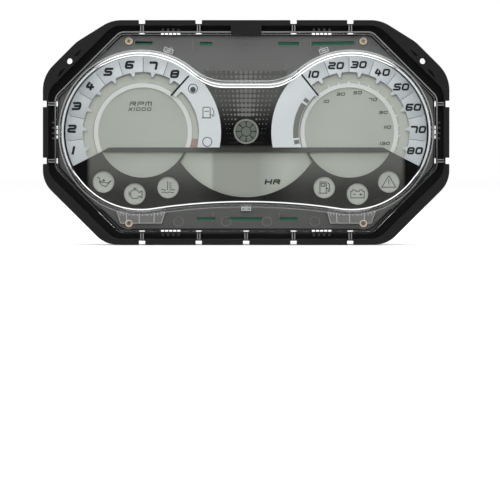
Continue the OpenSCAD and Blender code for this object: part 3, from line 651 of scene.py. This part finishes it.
pale = moulded("inner_ring_pale", (0.78, 0.8, 0.77), (0.8, 0.82, 0.79), 0.35, 0.1, 2400, 0.04, 0.1)
finish_node("inner_ring_left", pale)
finish_node("inner_ring_right", pale)
tick_angle = np.arange(-24.4, 108, 11.85)
ticks = together([
    ribbon(np.outer([24.9, 26.5], [math.sin(a), math.cos(a)]) + [dial_x, 0], 0.9, 19.65, 20.15)
    for a in np.radians(tick_angle)
])
add(piece("trip_ticks", *ticks, pale), "inner_ring")

# ---------- printing on the dials ----------
# Screen-printed ink, a few hundredths of a millimetre thick: wide slanted numbers, the dividers,
# the symbols, and the pale unlit figures of the display.

# Each glyph's strokes on a unit square; "closed" joins the ends of its first stroke
GLYPHS = {
    "0": [[(0, 0), (1, 0), (1, 1), (0, 1)], "closed"],
    "1": [[(0.5, 1), (0.5, 0)]],
    "2": [[(0, 1), (1, 1), (1, 0.5), (0, 0.5), (0, 0), (1, 0)]],
    "3": [[(0, 1), (1, 1), (1, 0), (0, 0)], [(0.25, 0.5), (0.8, 0.5)]],
    "4": [[(0.3, 1), (0, 0.34), (1, 0.34)], [(0.72, 0.72), (0.72, 0)]],
    "5": [[(1, 1), (0, 1), (0, 0.5), (1, 0.5), (1, 0), (0, 0)]],
    "6": [[(1, 1), (0, 1), (0, 0), (1, 0), (1, 0.5), (0.32, 0.5)]],
    "7": [[(0, 1), (1, 1), (1, 0)]],
    "8": [[(0, 0), (1, 0), (1, 1), (0, 1)], "closed", [(0.3, 0.5), (0.7, 0.5)]],
    "9": [[(0, 0), (1, 0), (1, 1), (0, 1), (0, 0.5), (0.7, 0.5)]],
    "R": [[(0, 0), (0, 1), (1, 1), (1, 0.5), (0.3, 0.5)], [(0.5, 0.5), (1, 0)]],
    "P": [[(0, 0), (0, 1), (1, 1), (1, 0.45), (0.3, 0.45)]],
    "M": [[(0, 0), (0, 1), (1, 1), (1, 0)], [(0.5, 1), (0.5, 0.15)]],
    "X": [[(0, 0), (1, 1)], [(0, 1), (1, 0)]],
    "H": [[(0, 0), (0, 1)], [(1, 0), (1, 1)], [(0, 0.5), (1, 0.5)]],
}


def bent(path, soft, closed=False, steps=5):
    """The path with each corner c replaced by the parabola (1-t)^2 a + 2t(1-t) c + t^2 b, where a and
    b lie on its two sides at the distance `soft` from it, or half-way along a shorter side."""
    path = np.asarray(path, float)
    before, after = np.roll(path, 1, 0) - path, np.roll(path, -1, 0) - path
    a = path + before * np.minimum(soft / np.linalg.norm(before, axis=1, keepdims=True), 0.48)
    b = path + after * np.minimum(soft / np.linalg.norm(after, axis=1, keepdims=True), 0.48)
    t = np.linspace(0, 1, steps)[None, :, None]
    curve = (1 - t) ** 2 * a[:, None] + 2 * t * (1 - t) * path[:, None] + t ** 2 * b[:, None]
    if closed:
        return curve.reshape(-1, 2)
    return np.vstack([path[:1], curve[1:-1].reshape(-1, 2), path[-1:]])


def words(text, x, z, high, wide, gap, weight, back, front, slant=0.22):
    """Slanted squared letters centred on x, z: each glyph's strokes on a unit square are scaled,
    their corners bent, sheared by `slant` times the height, and made ribbons of that weight. Each
    further stroke of a glyph stands 0.008 mm prouder, so that crossing strokes never share a plane."""
    widths = np.array([weight * 1.1 if c == "1" else wide for c in text])
    whole = widths.sum() + gap * (len(text) - 1)
    starts = np.concatenate([[0], np.cumsum(widths + gap)[:-1]]) - whole / 2
    made = []
    for c, w, x0 in zip(text, widths, starts):
        strokes = [s for s in GLYPHS[c] if s != "closed"]
        for k, stroke in enumerate(strokes):
            looped = k == 0 and "closed" in GLYPHS[c]
            box = [max(w - weight, 0.01), high - weight]
            path = np.array(stroke, float) * box + [weight / 2, (weight - high) / 2]
            if not looped:
                first, last = path[0] - path[1], path[-1] - path[-2]
                path[0] += first / np.linalg.norm(first) * weight / 2
                path[-1] += last / np.linalg.norm(last) * weight / 2
            if len(path) > 2:
                path = bent(path, 0.2 * high, looped)
            path = path + [x0, 0]
            path[:, 0] += slant * path[:, 1]
            made.append(ribbon(path + [x, z], weight, back, front + 0.008 * k, looped))
    return made


ink = moulded("black_ink", (0.012, 0.016, 0.02), (0.02, 0.02, 0.02), 0.35, 0.1, 3500, 0.1, 0.0)
left_numbers = [("1", -89.3, -9.3), ("2", -90.0, 1.9), ("3", -87.5, 13.6), ("4", -80.8, 23.9), ("5", -71.2, 31.3),
                ("6", -60.3, 34.9), ("7", -48.0, 34.5), ("8", -36.9, 30.2)]
right_numbers = [("10", 35.0, 30.0), ("20", 46.5, 34.5), ("30", 58.3, 35.0), ("40", 70.3, 31.0), ("50", 80.3, 23.5),
                 ("60", 86.5, 13.0), ("70", 89.0, 1.5), ("80", 87.3, -9.5)]
on_ring = (ring_face - 0.02, ring_face + 0.03)
numbers = [s for t, x, z in left_numbers for s in words(t, x, z, 4.3, 4.5, 0.5, 1.2, *on_ring)]
numbers += [s for t, x, z in right_numbers for s in words(t, x, z, 3.8, 3.8, 0.45, 1.0, *on_ring)]
for end_points in ([(-38.85, 19.0), (-29.6, 29.25)], [(37.3, 19.0), (27.7, 31.1)]):
    numbers.append(ribbon(end_points, 0.9, ring_face - 0.4, on_ring[1]))
add(piece("ring_numbers", *together(numbers), ink), "mask")

line_grey = moulded("divider_ink", (0.16, 0.18, 0.18), (0.2, 0.2, 0.2), 0.4, 0.1, 3500, 0.05, 0.0)
lines = []
for s in (-1, 1):
    for a in np.radians(96.5 - 19.37 * np.arange(7)) * s:
        out = np.array([math.sin(a), math.cos(a)])
        lines.append(ribbon(np.array([out * 31.3, out * 38.6]) + [s * dial_x, 0], 0.28, *on_ring))
add(piece("ring_dividers", *together(lines), line_grey), "mask")

symbol_grey = moulded("symbol_ink", (0.07, 0.08, 0.08), (0.08, 0.08, 0.08), 0.4, 0.1, 3500, 0.05, 0.0)
symbols = [
    ring(-27.5, 22.6, 2.35, 0.42, *on_ring),
    ring(-20.1, -4.9, 2.35, 0.42, *on_ring),
    ribbon(bent([(-22.3, 7.6), (-22.3, 13.0), (-18.6, 13.0), (-18.6, 7.6)], 0.7), 0.42, *on_ring),
    ribbon([(-22.8, 7.5), (-18.1, 7.5)], 0.5, *on_ring),
    ribbon([(-21.6, 10.9), (-19.3, 10.9)], 0.4, *on_ring),
    ribbon(bent([(-18.5, 9.2), (-17.6, 9.2), (-17.4, 8.2), (-16.6, 8.6), (-16.8, 11.4), (-17.8, 12.7)], 0.3),
           0.36, *on_ring),
]
symbol_parts = plates(*symbols, discs([-27.5], [22.1], [1.45], *on_ring, 24))
add(piece("crescent_symbols", *symbol_parts, symbol_grey), "mask")

film_face = 19.6
on_film = (film_face - 0.01, film_face + 0.02)
faint = moulded("unlit_segment", (0.085, 0.09, 0.082), (0.09, 0.09, 0.09), 0.4, 0.1, 3000, 0.03, 0.0)
figures = words("RPM", -54.5, 14.8, 2.3, 3.3, 0.75, 0.5, *on_film)
figures += words("X1000", -55.0, 12.0, 1.9, 2.2, 0.65, 0.42, *on_film)
small_numbers = [("10", 41.5, 16.0), ("30", 49.0, 19.8), ("50", 57.7, 20.5), ("70", 65.5, 17.0), ("90", 71.0, 10.3),
                 ("110", 73.2, 2.7), ("130", 71.8, -5.7)]
for t, x, z in small_numbers:
    figures += words(t, x, z, 1.7, 2.0, 0.35, 0.42, *on_film)
hours = words("HR", 13.7, -25.6, 2.7, 3.6, 0.7, 0.75, *on_film)

# Warning lamps: a film disc with a pale rim over each, and on it the oil can, engine, coolant, fuel
# pump, battery or warning triangle
lamp_places = [(-73.8, -25.6), (-57.6, -31.8), (-40.4, -28.5), (40.4, -28.5), (57.6, -31.8), (73.8, -25.6)]
SYMBOLS = [
    [[(-3.1, 2.0), (-2.4, 2.3), (-1.2, -0.1), (2.2, -0.6), (3.8, 0.6)],
     [(-2.2, 0.4), (-0.9, -1.6), (1.2, -2.3), (3.4, 0.2)], [(0.2, 0.1), (0.1, 1.3)], [(-0.6, 0.9), (0.8, 0.7)]],
    [[(-2.8, -1.2), (-2.8, 1.2)], [(-2.8, 0), (-2.0, 0)],
     [(-2.0, 1.0), (-1.1, 1.9), (1.2, 1.9), (2.0, 0.8), (2.9, 0.8), (2.9, 1.4), (3.6, 1.2), (3.6, -1.8),
      (2.9, -1.9), (2.9, -1.2), (2.0, -1.2), (1.2, -2.3), (-1.2, -2.3), (-2.0, -1.2), (-2.0, 1.0)],
     [(0, 1.9), (0, 2.8)], [(-0.9, 2.8), (0.9, 2.8)]],
    [[(-0.2, 3.1), (-0.2, -1.4)], [(0.6, 2.2), (1.7, 2.2)], [(0.6, 1.1), (1.7, 1.1)], [(0.6, 0), (1.7, 0)],
     [(-3.4, -1.2), (-2.6, -0.8), (-1.6, -1.4), (-1.0, -1.1)], [(0.8, -1.3), (1.8, -0.9), (2.8, -1.3), (3.4, -1.0)],
     [(-3.2, -2.6), (-2.0, -2.2), (-0.6, -2.7), (0.8, -2.2), (2.2, -2.6), (3.0, -2.3)]],
    [[(-2.1, -2.7), (-2.1, 2.7), (1.0, 2.7), (1.0, -2.7)], [(-2.7, -2.8), (1.6, -2.8)],
     [(-1.4, 0.6), (0.3, 0.6), (0.3, 2.0), (-1.4, 2.0), (-1.4, 0.6)],
     [(1.0, -0.4), (1.9, -0.4), (2.0, -2.0), (2.8, -1.6), (2.6, 1.2), (1.8, 2.4)]],
    [[(-3.3, -2.0), (3.3, -2.0), (3.3, 1.3), (2.6, 1.3), (2.3, 2.0), (1.2, 2.0), (0.9, 1.3), (-0.9, 1.3),
      (-1.2, 2.0), (-2.3, 2.0), (-2.6, 1.3), (-3.3, 1.3), (-3.3, -2.0)],
     [(-2.2, -0.3), (-0.9, -0.3)], [(0.9, -0.3), (2.3, -0.3)], [(1.6, -1.0), (1.6, 0.4)]],
    [[(0, 3.1), (-3.4, -2.6), (3.4, -2.6), (0, 3.1)], [(0, 1.2), (0, -0.9)], [(0, -1.5), (0, -1.9)]],
]
lamp_x, lamp_z = np.array(lamp_places).T
lamp_film = moulded("lamp_film", (0.46, 0.48, 0.44), (0.45, 0.45, 0.45), 0.3, 0.1, 3000, 0.03, 0.0)
# Painted light: each lamp disc is a film-coloured sheet brought forward almost to the mask's face, so that the deep
# lamp windows show no shade
add(piece("lamp_discs", *discs(lamp_x, lamp_z, 5.6, 20.9, 21.5, 48), lamp_film), "film")
lamp_rim = moulded("lamp_rim_pale", (0.5, 0.52, 0.49), (0.5, 0.5, 0.5), 0.3, 0.1, 3000, 0.03, 0.0)
lamp_rings = together([ring(x, z, 5.15, 0.3, 21.48, 21.53, 48) for x, z in lamp_places])
add(piece("lamp_rims", *lamp_rings, lamp_rim), "film")
for (x, z), strokes in zip(lamp_places, SYMBOLS):
    for stroke in strokes:
        figures.append(ribbon(np.array(stroke) * 1.05 + [x, z], 0.42, 21.49, 21.53))
add(piece("display_figures", *together(figures), faint), "film")
add(piece("hour_sign", *together(hours), ink), "film")

# The trip bar on the right dial shows through three gaps in its crescent, and the low end of the
# fuel bar on the left is tinted red
gap_grey = moulded("trip_bar_film", (0.2, 0.21, 0.19), (0.4, 0.4, 0.4), 0.3, 0.1, 3000, 0.03, 0.0)
trip = together([
    ribbon(arc(dial_x, 0, 27.7, -51.6, -55.6, 6), 2.7, *on_ring),
    ribbon(arc(dial_x, 0, 27.7, -58.0, -96.0, 40), 2.9, *on_ring),
    ribbon(arc(dial_x, 0, 27.7, -98.0, -102.5, 6), 2.7, *on_ring),
])
add(piece("trip_bar", *trip, gap_grey), "film")
low_red = moulded("low_fuel_tint", (0.47, 0.33, 0.32), (0.4, 0.3, 0.3), 0.3, 0.1, 3000, 0.03, 0.0)
low_fuel = ribbon(arc(-dial_x, 0, 27.2, 97.0, 106.5, 12), 3.3, *on_film)
add(piece("low_fuel_mark", *low_fuel, low_red), "film")

# ---------- heading dial ----------
# Between the two dials, under the mask's round window: a grey film disc with a pale ring and
# eight short printed spokes.

head_z, on_disc = 0.5, (21.88, 21.95)
head_grey = moulded("heading_film", (0.15, 0.168, 0.144), (0.15, 0.15, 0.15), 0.35, 0.1, 3000, 0.03, 0.0)
add(piece("heading_disc", *discs([0], [head_z], [6.45], 20.6, 21.9, 64), head_grey), "film")
head_pale = moulded("heading_ring", (0.27, 0.285, 0.25), (0.2, 0.2, 0.2), 0.35, 0.1, 3000, 0.03, 0.0)
add(piece("heading_ring", *ring(0, head_z, 5.95, 1.0, 21.88, 21.96, 64), head_pale), "film")
spokes = [ring(0, head_z, 5.3, 0.32, *on_disc, 64), ring(0, head_z, 2.5, 0.4, *on_disc, 48)]
for a in np.radians(np.arange(8) * 45.0):
    spokes.append(ribbon(np.outer([2.7, 5.1], [math.sin(a), math.cos(a)]) + [0, head_z], [0.35, 0.85], *on_disc))
add(piece("heading_spokes", *together(spokes), ink), "film")

# ---------- clear edge pieces ----------
# Clear acrylic, injection moulded: a ribbed foot at each side under the window's rim, which catches
# the light, and three small clips on the rim.

clear_foot = moulded("clear_acrylic_foot", (0.2, 0.2, 0.195), (0.35, 0.35, 0.35), 0.22, 0.15, 900, 0.08, 0.8)
# The second grey is a painted highlight, paler, for the ribs, hooks and outline where the clear foot catches the
# light
foot_highlight = moulded("clear_acrylic_highlight", (0.5, 0.5, 0.49), (0.8, 0.8, 0.8), 0.22, 0.15, 900, 0.08, 0.8)
hook = np.array([(-0.9, -42.9), (-0.9, -41.4), (0.9, -41.4), (0.9, -42.9)])
on_foot = (22.9, 23.1)
for side, name in ((-1, "left"), (1, "right")):
    middle = side * 54.4
    body = ribbon([(middle, -40.6), (middle, -43.9), (middle, -47.2)], [25, 23.4, 21.5], 22.3, 23.0)
    bars = [ribbon([(middle + x, -41.0), (middle + x * 0.97, -47.0)], 0.45, *on_foot) for x in (-7.6, -0.9, 6.9)]
    hooks = [ribbon(bent(hook + [middle + x, 0], 0.5), 0.3, 22.9, 23.06) for x in (-9.9, -5.2, -2.6, 1.7, 4.4, 9.6)]
    rim = np.array([(-12.3, -40.8), (-10.6, -47.0), (10.6, -47.0), (12.3, -40.8)]) + [middle, 0]
    outline = ribbon(rim, 0.35, *on_foot, True)
    add(piece("ribbed_foot_" + name, *body, clear_foot), "clear", "edge_light_" + name)
    add(piece("foot_ribs_" + name, *together(bars + hooks + [outline]), foot_highlight), "clear")
clip_clear = moulded("clear_clip", (0.3, 0.3, 0.3), (0.9, 0.9, 0.9), 0.2, 0.1, 900, 0.05, 0.9)
softened("mask_clips", clip_clear, 0.2)
# Painted highlights round each clip, (x, z, tilt in degrees, height), and across its middle
clip_edges = []
for x, z, tilt, high in ((-40.2, 42.2, 20, 2.2), (40.2, 42.2, -20, 2.2), (0, -39.4, 0, 1.7)):
    a = np.radians(-tilt)
    turned_by = np.array([[math.cos(a), math.sin(a)], [-math.sin(a), math.cos(a)]])
    frame_path = np.array([(-2.3, -high / 2), (2.3, -high / 2), (2.3, high / 2), (-2.3, high / 2)])
    clip_edges.append(ribbon(frame_path @ turned_by + [x, z], 0.4, 22.9, 23.12, True))
    clip_edges.append(ribbon(np.array([(-1.0, 0), (1.0, 0)]) @ turned_by + [x, z], 0.5, 22.9, 23.1))
clip_highlight = moulded("clip_painted_highlight", (0.62, 0.63, 0.62), (0.9, 0.9, 0.9), 0.2, 0.1, 900, 0.05, 0.9)
add(piece("clip_edges", *together(clip_edges), clip_highlight), "clear")

# ---------- lens ----------
# One clear polycarbonate moulding: an eight-sided flange with a raised lip, and the window that
# stands up from it round both dials. The frame holds its flange down, and its tabs stand in the
# frame's notches.

# The window: two circles, the dip's level between them and its fillets' radius, and the depth of
# the shallow arc below. The flange: half sizes, the line its corners are cut along, their radius.
window_x, window_r, dip_z, dip_r, low_z = 54.2, 42.3, 26.3, 26.0, 38.2
flange_w, flange_h, flange_cut, flange_r = 99.0, 52.3, 117.7, 6.0


def window_edge(inset):
    """The window's outline moved in by inset: a shallow arc below, a circle at each side, and a
    level dip above joined by fillets, every arc tangent to the next."""
    dip_x = window_x - math.sqrt((window_r + dip_r) ** 2 - (dip_z + dip_r) ** 2)
    low_r = (window_x ** 2 + low_z ** 2 - window_r ** 2) / (2 * (window_r - low_z))
    dip_a = math.atan2(dip_z + dip_r, dip_x - window_x)
    low_a = math.atan2(-(low_z + low_r), -window_x)

    def turn(x, z, r, a0, a1, steps):
        a = np.linspace(a0, a1, steps)
        return np.stack([x + r * np.cos(a), z + r * np.sin(a)], 1)

    right = np.vstack([
        turn(0, -(low_z + low_r), low_r + inset, math.pi / 2, math.pi + low_a, 60)[:-1],
        turn(window_x, 0, window_r - inset, low_a, dip_a, 400)[:-1],
        turn(dip_x, dip_z + dip_r, dip_r + inset, math.pi + dip_a, 1.5 * math.pi, 80),
    ])
    return np.vstack([right, right[:0:-1] * [-1, 1]])


def flange_edge(inset):
    """A rectangle with its corners cut along |x| + |z| = flange_cut, moved in by inset, its corners
    rounded by arcs that keep their centres."""
    w, h = flange_w - inset, flange_h - inset
    s, r = flange_cut - inset * math.sqrt(2), flange_r - inset
    corners = np.array([
        (s - h, -h), (w, w - s), (w, s - w), (s - h, h), (h - s, h), (-w, s - w), (-w, w - s), (h - s, -h),
    ])
    before = np.roll(corners, 1, 0) - corners
    after = np.roll(corners, -1, 0) - corners
    before /= np.linalg.norm(before, axis=1, keepdims=True)
    after /= np.linalg.norm(after, axis=1, keepdims=True)
    half = np.arccos((before * after).sum(1)) / 2
    middle = before + after
    middle /= np.linalg.norm(middle, axis=1, keepdims=True)
    centres = corners + middle * (r / np.sin(half))[:, None]
    start = np.arctan2(*(corners + before * (r / np.tan(half))[:, None] - centres).T[::-1])
    end = np.arctan2(*(corners + after * (r / np.tan(half))[:, None] - centres).T[::-1])
    sweep_by = (end - start + math.pi) % (2 * math.pi) - math.pi
    a = start[:, None] + sweep_by[:, None] * np.linspace(0, 1, 14)
    return (centres[:, None] + r * np.stack([np.cos(a), np.sin(a)], -1)).reshape(-1, 2)


def at_bearings(outline, bearings):
    """The points where rays from the centre at these bearings cross a closed outline."""
    turned = np.arctan2(outline[:, 1], outline[:, 0])
    order = np.argsort(turned)
    closed_by = np.concatenate([turned[order][-1:] - 2 * math.pi, turned[order], turned[order][:1] + 2 * math.pi])
    ends = np.concatenate([outline[order][-1:], outline[order], outline[order][:1]])
    k = np.clip(np.searchsorted(closed_by, bearings) - 1, 0, len(closed_by) - 2)
    p, q = ends[k], ends[k + 1]
    ray = np.stack([np.cos(bearings), np.sin(bearings)], 1)
    along = q - p
    share = (p[:, 1] * ray[:, 0] - p[:, 0] * ray[:, 1]) / (along[:, 0] * ray[:, 1] - along[:, 1] * ray[:, 0])
    return p + along * share[:, None]


stations = np.sort(np.concatenate([
    np.arctan2(*window_edge(2.0)[:-1:2].T[::-1]), np.arctan2(*flange_edge(0.0).T[::-1]) + 1e-4,
    np.linspace(-math.pi, math.pi, 400, endpoint=False) + 0.003,
]))
stations = stations[np.concatenate([[True], np.diff(stations) > 4e-4])]
# The section, as (outline, inset, depth): down the window's inside, out along the flange's back, up
# its edge, in over its lip, and from row skin_start up the window's outside
skin_start = 13
SECTION = [
    ("window", 2.8, 33.0), ("window", 2.4, 32.8), ("window", 2.2, 32.2), ("window", 1.6, 23.7),
    ("window", 1.5, 23.5),
    ("flange", 0.2, 23.5), ("flange", 0.0, 23.7), ("flange", 0.0, 26.1), ("flange", 0.2, 26.3),
    ("flange", 0.8, 26.3), ("flange", 1.0, 26.1), ("flange", 1.05, 25.6), ("flange", 1.2, 25.5),
    ("window", -0.4, 25.5), ("window", -0.1, 25.65), ("window", 0.0, 26.0), ("window", 0.7, 33.4),
    ("window", 0.78, 33.9), ("window", 0.95, 34.35), ("window", 1.2, 34.7), ("window", 1.55, 34.92),
    ("window", 2.0, 35.0),
]
rows = []
for kind, inset, depth in [("window", 3.6, 33.0)] + SECTION + [("window", 2.8, 35.0)]:
    edge_points = at_bearings(window_edge(inset) if kind == "window" else flange_edge(inset), stations)
    rows.append(np.insert(edge_points, 1, -depth, 1))
count = len(stations)
lens_points = np.vstack(rows)
lens_faces = sheet_of_quads(len(rows), count, True).tolist()
lens_faces += [list(range(count)), list(range((len(rows) - 1) * count, len(rows) * count))]
clear_lens = plain("clear_polycarbonate", (0.985, 0.99, 0.99), Roughness=0.015, IOR=1.5, Transmission_Weight=1.0)
lens_tree = clear_lens.node_tree
haze = shader_node(lens_tree, "TexNoise", Vector=shader_node(lens_tree, "TexCoord")["Object"], Scale=90)["Fac"]
lens_bump = shader_node(lens_tree, "Bump", Strength=0.02, Distance=0.0001, Height=haze)["Normal"]
feed(lens_tree, lens_tree.nodes["Principled BSDF"].inputs["Normal"], lens_bump)
lens = add(piece("clear_lens", lens_points, lens_faces, clear_lens, 35), "lens", "lens")
lens.visible_shadow = False

# Painted highlights: thin pale strips on the skin at the window's corner and foot and on the lip of the
# flange, where the rounded edges catch the light, and a black strip of painted shadow on the window's wall at the
# sides
curve_insets = np.arange(-1, 6.0)
curves = np.stack([at_bearings(window_edge(v), stations) for v in curve_insets])
skin_rows = np.array([(inset, depth) for kind, inset, depth in SECTION[skin_start:]])
edge_x, edge_z = np.abs(curves[1, :, 0]), curves[1, :, 1]
at_top = np.clip((edge_z - 8 - 25 * np.clip((edge_x - 50) / 12, 0, 1)) / 7, 0, 1)
at_dip = np.clip((34 - edge_x) / 14, 0, 1) * at_top
at_side = np.clip((edge_x - 70) / 12, 0, 1) * np.clip((edge_z + 24) / 8, 0, 1) * np.clip((38 - edge_z) / 5, 0, 1)
at_foot = np.clip((-edge_z - 16) / 12, 0, 1)


def edge_band(name, material, middle, width):
    """A strip on the lens's outer skin. At each station round the window it reaches half of `width`
    either side of the inset `middle`, between offset outlines taken 1 mm apart, and its depth is
    the lens section's own, 0.03 mm proud, or 0.09 mm in the fillet at the foot."""
    inset = middle + width * np.linspace(-0.5, 0.5, 6)[:, None]
    k = np.clip(np.floor(inset - curve_insets[0]).astype(int), 0, len(curve_insets) - 2)
    share = (inset - curve_insets[0] - k)[..., None]
    at = np.arange(count)[None, :]
    flat = curves[k, at] * (1 - share) + curves[k + 1, at] * share
    depth = np.interp(inset, skin_rows[:, 0], skin_rows[:, 1]) + np.where(inset < 0.5, 0.09, 0.03)
    points = np.stack([flat[..., 0], -depth, flat[..., 1]], -1).reshape(-1, 3)
    return add(piece(name, points, sheet_of_quads(6, count, True), material, closed=False), "lens")


# White, grey and pale painted highlights, and a black painted shadow, for the strips round the window
glint_white = moulded("edge_glint_white", (0.78, 0.79, 0.79), (0.95, 0.95, 0.95), 0.3, 0.2, 1800, 0.1, 0.3)
glint_grey = moulded("edge_glint_grey", (0.36, 0.37, 0.37), (0.5, 0.5, 0.5), 0.3, 0.2, 1800, 0.1, 0.3)
glint_pale = moulded("edge_glint_pale", (0.28, 0.3, 0.31), (0.6, 0.6, 0.6), 0.3, 0.2, 1800, 0.1, 0.3)
shadow_line = moulded("edge_shadow", (0.004, 0.004, 0.004), (0.01, 0.01, 0.01), 0.2, 0.1, 1800, 0.05, 0.1)
edge_band("window_outer_line", glint_white, 1.2 + 0.55 * at_dip, 0.02 + 0.75 * at_top - 0.45 * at_dip)
edge_band("window_inner_line", glint_white, 2.55 + 0.5 * at_dip - 0.75 * at_side,
          0.36 - 0.18 * at_side + 0.12 * at_foot + 0.12 * at_top + 0.1 * at_dip)
edge_band("window_side_line", glint_pale, 1.95 - 1.1 * at_dip, 0.02 + 1.0 * at_side + 0.3 * at_top)
edge_band("window_shadow_line", shadow_line, 1.0 - 0.28 * at_side, 0.01 + 1.2 * at_side)
edge_band("window_foot_line", glint_grey, -0.25, 0.16 + 0.14 * at_top + 0.1 * at_side)

lip = flange_edge(0.45)
lip_width = 0.16 + 0.44 * np.clip((lip[:, 1] + 42) / 30, 0, 1)
lip_lines = together([
    ribbon(lip, lip_width, 26.2, 26.33, True),
    ribbon(flange_edge(1.7), 0.25, 25.4, 25.53, True),
])
lip_glint = moulded("lip_glint_grey", (0.15, 0.155, 0.155), (0.2, 0.2, 0.2), 0.3, 0.2, 1800, 0.1, 0.3)
# The lip's painted highlight is darker towards the bottom and paler towards the top, as the light falls from above
fade(lip_glint, "Z", -0.025, 0.015, (0.022, 0.022, 0.022), (0.13, 0.134, 0.134))
add(piece("lip_lines", *lip_lines, lip_glint), "lens")

# Forked snap tabs on the flange stand in the frame's notches, with ribbed latches between them and
# painted glints: white strips at the roots where tabs and latches join the flange
tab_places = ((1, (-53.8, -24.5, 24.5, 53.8)), (-1, (-53.8, -24.5, 0, 24.5, 53.8)))
latch_x = (-39, 39)
in_notch, on_latch, on_root = (24.5, 26.25), (23.55, 24.5), (25.4, 25.6)
tabs, latches, root_glints = [], [], []
for s, places in tab_places:
    for x in places:
        for k in (-1, 1):
            prong = [(x + k * 0.63, s * 51.4), (x + k * 0.63, s * 54.9), (x + k * 0.5, s * 55.6)]
            tabs.append(ribbon(prong, 0.55, *in_notch))
        root_glints.append(ribbon([(x - 1.5, s * 50.9), (x, s * 51.1), (x + 1.5, s * 50.9)], [0.4, 0.8, 0.4], *on_root))
    for z in (-14.7, 14.7):
        for k in (-1, 1):
            prong = [(s * 98.1, z + k * 0.63), (s * 101.6, z + k * 0.63), (s * 102.3, z + k * 0.5)]
            tabs.append(ribbon(prong, 0.55, *in_notch))
    for x in latch_x:
        latches += [ribbon([(x + 2.7 * k, s * 52.3), (x + 2.7 * k, s * 53.6)], [1.2, 0.7], *on_latch)
                    for k in (-1.5, -0.5, 0.5, 1.5)]
        root_glints += [ribbon([(x + 2.1 * k - 0.8, s * 50.9), (x + 2.1 * k + 0.8, s * 50.9)], 1.0, *on_root)
                  for k in (-2, -1, 0, 1, 2)]
    for z in (-3.05, -0.35, 2.35, 5.05):
        latches.append(ribbon([(s * 99.0, z), (s * 100.3, z)], [0.9, 0.5], *on_latch))
    for z, high in ((14.7, 2.6), (-14.7, 2.6), (2.6, 1.6), (0.2, 2.2), (-2.4, 1.6)):
        root_glints.append(ribbon([(s * 97.7, z - high / 2), (s * 97.7, z + high / 2)], 0.9, *on_root))
tab_grey = moulded("tab_clear_grey", (0.11, 0.112, 0.112), (0.4, 0.4, 0.4), 0.2, 0.2, 900, 0.08, 0.9)
snaps = add(piece("lens_snap_tabs", *together(tabs), tab_grey), "lens")
tab_edges = snaps.modifiers.new("soft_edges", "BEVEL")
tab_edges.width = 0.09 * mm
tab_edges.segments = 2
latch_dark = moulded("latch_clear_dark", (0.03, 0.03, 0.03), (0.3, 0.3, 0.3), 0.2, 0.2, 900, 0.08, 0.9)
add(piece("lens_latches", *together(latches), latch_dark), "lens")
add(piece("tab_root_glints", *together(root_glints), glint_white), "lens")

# ---------- header and breather ----------
# In the housing's back: the oval header, a black nylon shell with tinned blades and a rubber ring
# at its root, and beside it the round membrane that lets the housing breathe.

nylon = moulded("header_nylon", (0.014, 0.014, 0.015), (0.05, 0.05, 0.05), 0.34, 0.12, 1800, 0.12, 0.6)
softened("connector_shell", nylon, 0.15)
finish_node("connector_seal", rubber)
membrane = moulded("breather_membrane", (0.006, 0.006, 0.006), (0.02, 0.02, 0.02), 0.75, 0.1, 5000, 0.5, 0.2,
                   Specular_IOR_Level=0.15)
finish_node("vent_patch", membrane)
